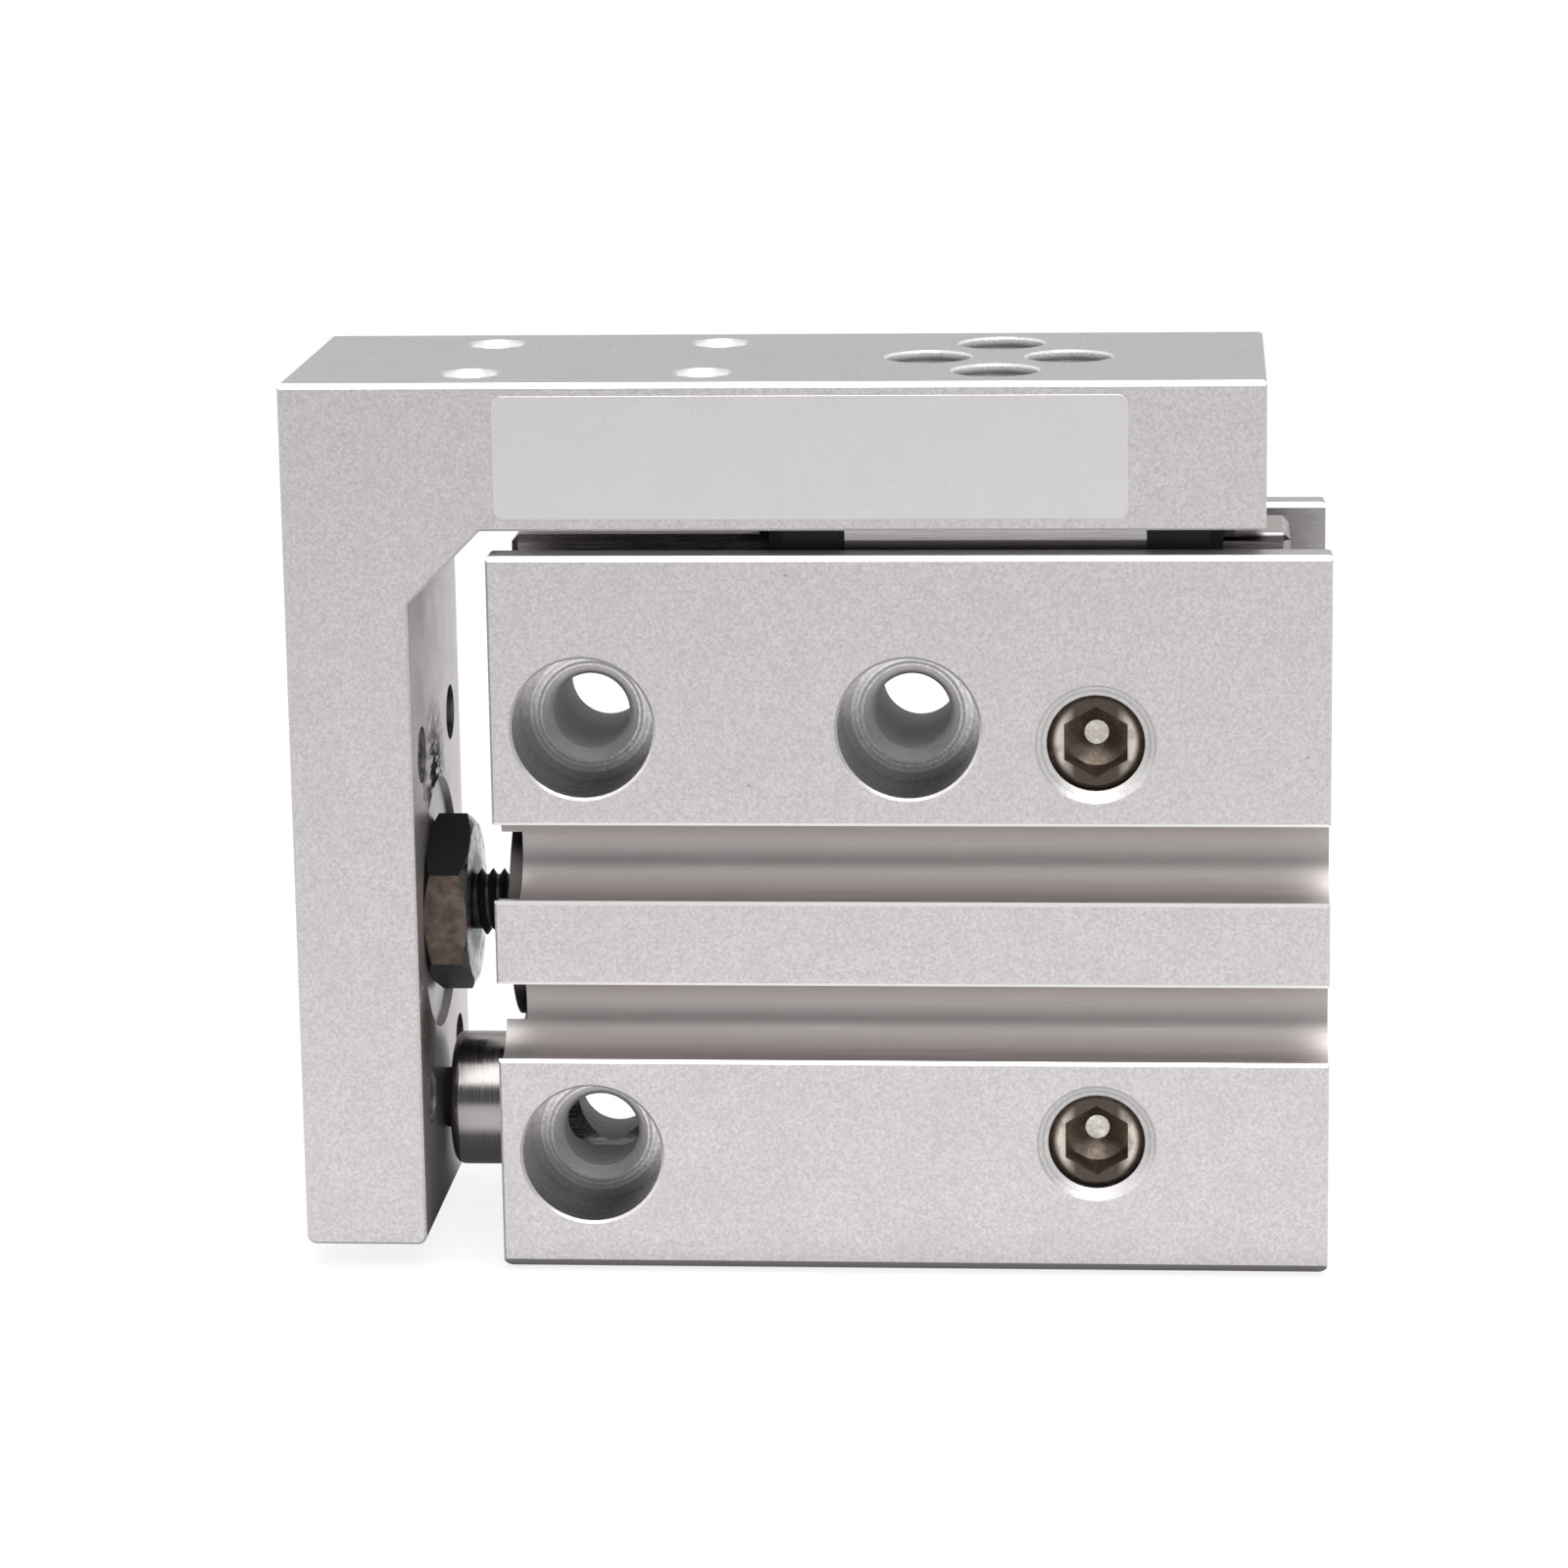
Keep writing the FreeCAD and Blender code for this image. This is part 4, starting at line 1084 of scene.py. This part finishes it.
@dataclass
class BallGuide(Assembly):
    """Rail, carriage block, end caps and balls."""

    painted_light_rail_side: float = 2.4
    rail_skin: float = 0.05

    def build(self) -> None:
        """Dresses the guide's nodes."""
        top = corners("guide_rail")[1].z
        # The rail's top and front faces take the painted reflection, its top edges painted light and shade.
        self.dress("guide_rail", self.book.ground, (EdgeZone(top), self.book.painted_light_rail_edge),
                   (FacingZone(Axis.UP, top - self.rail_skin), self.book.rail_top),
                   (FacingZone(Axis.FRONT, self.painted_light_rail_side), self.book.painted_light_rail_side))
        self.dress("guide_block", self.book.carriage)
        self.dress_all(self.book.polished, "ball_circuit_front", "ball_circuit_back")
        self.dress_all(self.book.plastic, "end_cap_rod", "end_cap_head")
        self.dress_all(self.book.rubber, "end_seal_rod", "end_seal_head")
        self.dress_all(self.book.screw, "rail_screws", "end_cap_screws")
        self.dress("table_screws", self.book.screw_head)


@dataclass
class SlideTable(Assembly):
    """The L-shaped table with its blank label and tapped holes."""

    screw_places: tuple[Pair, ...] = ((0.65, 0.0), (6.75, 0.0), (3.7, 4.1), (3.7, -4.1))
    screw_radius: float = 2.0
    screw_floor: float = 34.1
    hole_radius: float = 1.27
    hole_rim: float = 1.36
    hole_floor: float = 34.0
    hole_rim_depth: float = 0.15
    leg_inside: float = -21.4
    leg_skin: float = 0.2
    label_x: Pair = (-17.57, 9.4)
    label_z: Pair = (33.3, 38.6)
    label_corner: float = 0.45
    label_thickness: float = 0.03
    label_bevel: float = 0.02
    top_thread: Pair = (0.4, 4.5)
    leg_thread: Pair = (0.1, 5.0)

    def __post_init__(self) -> None:
        """Finds the table's corners and tapped holes in the frame."""
        self.low, self.high = corners("slide_table")
        self.top_holes = mount_places("table_holes", Axis.HEAD, Axis.BACK)
        self.leg_holes = mount_places("leg_holes", Axis.BACK, Axis.UP)

    def build(self) -> None:
        """Dresses the table and adds its label and threads."""
        self.dress("slide_table", self.book.satin, *self.table_zones())
        self.blank_label()
        self.tap("table_hole_threads", M3_INSIDE, self.top_holes, Axis.DOWN, self.top_thread, Body.TABLE)
        self.tap("leg_hole_threads", M3_INSIDE, self.leg_holes, Axis.HEAD, self.leg_thread, Body.TABLE)

    def table_zones(self) -> Zones:
        """Returns: the zones of the holes, edges and the leg's inner face with their finishes."""
        top = self.high.z - SKIN
        rim = self.high.z - self.hole_rim_depth
        zones: Zones = []
        for place in self.top_holes:
            wall = RoundZone(tuple(place), Axis.UP, self.hole_radius, self.hole_floor, rim)
            edge = RoundZone(tuple(place), Axis.UP, self.hole_rim, rim, top)
            zones += [(wall, self.book.tapped), (edge, self.book.cut)]
        outside = self.low.x + self.leg_thread[0]
        for _, y, z in self.leg_holes:
            bar = RoundZone((0.0, y, z), Axis.HEAD, self.hole_radius, outside, self.leg_inside - SKIN)
            name = f"leg_{z:.0f}_{math.copysign(1.0, y):.0f}"
            zones.append((bar, self.book.bored(name, (0.0, y, z), axis=Axis.HEAD)))
        for x, y in self.screw_places:
            sunk = RoundZone((x, y, 0.0), Axis.UP, self.screw_radius, self.screw_floor, top)
            zones.append((sunk, self.book.painted_light_sunk_wall))
        zones.append((EdgeZone(self.high.z), self.book.cut))
        zones.append((FacingZone(Axis.HEAD, self.leg_inside - self.leg_skin), self.book.stained_and_shaded))
        return zones

    def blank_label(self) -> None:
        """Adds the bare label plate on the table's front."""
        wide, tall = ((high - low) * MM for low, high in (self.label_x, self.label_z))
        shape = rectangle(wide, tall)
        bmesh.ops.bevel(shape, geom=list(shape.verts), offset=self.label_corner * MM, segments=6,
                        profile=0.5, affect="VERTICES", material=-1)
        raised = bmesh.ops.extrude_face_region(shape, geom=list(shape.faces))
        top = [item for item in raised["geom"] if isinstance(item, bmesh.types.BMVert)]
        bmesh.ops.translate(shape, verts=top, vec=(0.0, 0.0, self.label_thickness * MM))
        rim = [edge for edge in shape.edges if all(vert in top for vert in edge.verts)]
        bmesh.ops.bevel(shape, geom=rim, offset=self.label_bevel * MM, segments=1, profile=0.5,
                        affect="EDGES", material=-1)
        middle = Vector((sum(self.label_x) / 2, self.low.y, sum(self.label_z) / 2)) * MM
        stand = Euler((math.pi / 2, 0.0, 0.0)).to_matrix().to_4x4()
        shape.transform(Matrix.Translation(middle) @ stand)
        self.piece("blank_label", shape, self.book.label, Body.TABLE, Slot.ALUMINIUM)


@dataclass
class RodEnd(Assembly):
    """Piston rod, its thread and its lock nut."""

    thread_start: float = -19.85
    thread_end: float = -17.75

    def build(self) -> None:
        """Dresses the rod and nut and adds the rod's thread."""
        end = FacingZone(Axis.HEAD, -FAR, 0.4)
        flat = FacingZone(Axis.FRONT, 0.0)
        self.dress("piston_rod", self.book.black)
        self.dress("lock_nut", self.book.black, (end, self.book.scratched_highlight), (flat, self.book.reflection_tinted))
        shape = bmesh.new()
        start = Vector((self.thread_start, 0.0, self.book.bore_z))
        M3_OUTSIDE.cut(shape, start, Axis.HEAD, self.thread_end - self.thread_start)
        self.piece("rod_thread", shape, self.book.black, Body.TABLE, Slot.BLACK_STEEL)


@dataclass(frozen=True)
class Softbox:
    """A large soft lamp, in metres and watts."""

    name: str
    place: Triple
    aim: Triple
    size: float
    power: float

    def build(self) -> bpy.types.Object:
        """Returns: the lamp, turned to what it aims at."""
        lamp = bpy.data.lights.new(self.name, "AREA")
        lamp.shape = "DISK"
        lamp.size = self.size
        lamp.energy = self.power
        made = bpy.data.objects.new(self.name, lamp)
        made.location = self.place
        toward = Vector(self.aim) - Vector(self.place)
        made.rotation_euler = toward.to_track_quat("-Z", "Y").to_euler()
        bpy.context.scene.collection.objects.link(made)
        return made


@dataclass(frozen=True)
class Card:
    """A standing card that shapes what metal mirrors, and that the camera doesn't see."""

    name: str
    place: Triple
    wide: float
    tall: float
    shade: float

    def build(self) -> bpy.types.Object:
        """Returns: the card, standing across the view."""
        shape = rectangle(self.wide, self.tall)
        shape.transform(Matrix.Translation(self.place) @ Matrix.Rotation(math.pi / 2, 4, "X"))
        graph = ShaderGraph(f"{self.name}_cloth")
        made = put(self.name, shape, graph.show(graph.matte(self.shade)))
        made.visible_camera = False
        return made


@dataclass
class Studio:
    """White room and floor, soft lamps, cards and the photo's camera, in metres and degrees."""

    middle: Triple = (-0.004, 0.0, 0.02)
    camera_place: Triple = (0.012015, -0.227196, 0.071778)
    camera_turn: Triple = (77.22436, 4.51692, -0.89046)
    lens: float = 121.07
    sensor: float = 36.0
    clip: Pair = (0.01, 20.0)
    ambient: float = 0.7
    floor_side: float = 8.0
    floor_drop: float = 0.0002
    floor_shade: float = 0.2
    floor_seen: float = 0.85
    pool: Pair = (1.1, 0.75)
    pool_reach: Pair = (0.02, 0.2)
    contact_shade: float = 0.08
    contact_reach: Pair = (-0.001, 0.0025)

    def build(self) -> None:
        """Makes the world, floor, lamps, cards and camera."""
        self.world()
        self.floor()
        for lamp in (Softbox("overhead", (0.05, -0.25, 0.5), self.middle, 0.6, 2.2),
                     Softbox("right_fill", (0.5, -0.1, 0.25), self.middle, 0.3, 0.12)):
            lamp.build()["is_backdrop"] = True
            log.info("lit %s", lamp.name)
        for card in (Card("dark_side", (-0.42, -0.6, 0.22), 0.9, 0.36, 0.15),
                     Card("grey_back", (0.0, 1.2, 0.42), 3.0, 0.74, 0.75)):
            card.build()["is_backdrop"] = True
            log.info("stood %s", card.name)
        self.camera()
        bpy.context.scene.view_settings.view_transform = "Standard"

    def world(self) -> None:
        """Makes a world that is white to the camera and in reflections."""
        world = bpy.data.worlds.new("white_room")
        world.use_nodes = True
        graph = NodeGraph(world.node_tree)
        rays = graph.add("ShaderNodeLightPath", {}).outputs
        seen = graph.larger(rays["Is Camera Ray"], rays["Is Glossy Ray"])
        clear = graph.larger(seen, rays["Is Transmission Ray"])
        ambient, white = (
            graph.add("ShaderNodeBackground", {"Color": (1.0, 1.0, 1.0, 1.0), "Strength": strength})
            for strength in (self.ambient, 1.0))
        mix = graph.add("ShaderNodeMixShader", {
            "Fac": clear, 1: ambient.outputs["Background"], 2: white.outputs["Background"]})
        graph.add("ShaderNodeOutputWorld", {"Surface": mix.outputs["Shader"]})
        bpy.context.scene.world = world

    def floor(self) -> None:
        """Makes a white floor that keeps a faint shadow, with a painted pool of glow round the object and a
        painted contact shadow under it.
        """
        shape = rectangle(self.floor_side, self.floor_side)
        bmesh.ops.translate(shape, verts=shape.verts, vec=(0.0, 0.0, -self.floor_drop))
        graph = ShaderGraph("white_sweep")
        # A painted pool of light: away from the camera the floor glows brighter near the object.
        pool = graph.spread(graph.vector("LENGTH", graph.place), *self.pool, *self.pool_reach)
        rays = graph.add("ShaderNodeLightPath", {})
        level = graph.add("ShaderNodeMix", {
            0: rays.outputs["Is Camera Ray"], 2: graph.product(pool, self.footprint(graph)),
            3: self.floor_seen}, data_type="FLOAT")
        glow = graph.add("ShaderNodeEmission", {"Strength": level.outputs[0]})
        both = graph.add("ShaderNodeAddShader", {
            0: glow.outputs["Emission"], 1: graph.matte(self.floor_shade)})
        floor = put("floor", shape, graph.show(both.outputs["Shader"]))
        floor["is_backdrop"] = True

    def footprint(self, graph: ShaderGraph) -> Socket:
        """Paints a contact shadow: keeps the floor's glow out from under the object.

        Args:
            graph: the floor's tree.

        Returns: a mask that is dark under the object and 1 away from it.
        """
        low, high = (Vector(corner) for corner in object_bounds())
        offset = graph.vector("SUBTRACT", graph.place, (low + high) / 2, "Vector")
        apart = graph.vector("ABSOLUTE", offset, result="Vector")
        beyond = graph.vector("SUBTRACT", apart, (high - low) / 2, "Vector")
        parts = graph.add("ShaderNodeSeparateXYZ", {"Vector": beyond})
        outside = graph.larger(parts.outputs["X"], parts.outputs["Y"])
        return graph.spread(outside, self.contact_shade, 1.0, *self.contact_reach)

    def camera(self) -> None:
        """Places the camera where the photo was taken from."""
        lens = bpy.data.cameras.new("photo_camera")
        lens.lens = self.lens
        lens.sensor_width = self.sensor
        lens.clip_start, lens.clip_end = self.clip
        made = bpy.data.objects.new("photo_camera", lens)
        tilt, heading, roll = (math.radians(angle) for angle in self.camera_turn)
        turn = Matrix.Rotation(tilt, 4, "X") @ Matrix.Rotation(roll, 4, "Z")
        stand = Matrix.Translation(Vector(self.camera_place)) @ Matrix.Rotation(heading, 4, "Z")
        made.matrix_world = stand @ turn
        bpy.context.scene.collection.objects.link(made)
        bpy.context.scene.camera = made


def main() -> None:
    """Builds the studio and every sub-assembly, in order."""
    logging.basicConfig(level=logging.INFO, format="%(message)s")
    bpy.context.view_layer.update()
    book = FinishBook()
    Studio().build()
    for assembly in (HousingBlock(book), BallGuide(book), SlideTable(book), RodEnd(book)):
        assembly.build()
        log.info("finished %s", type(assembly).__name__)


if __name__ == "__main__":
    main()
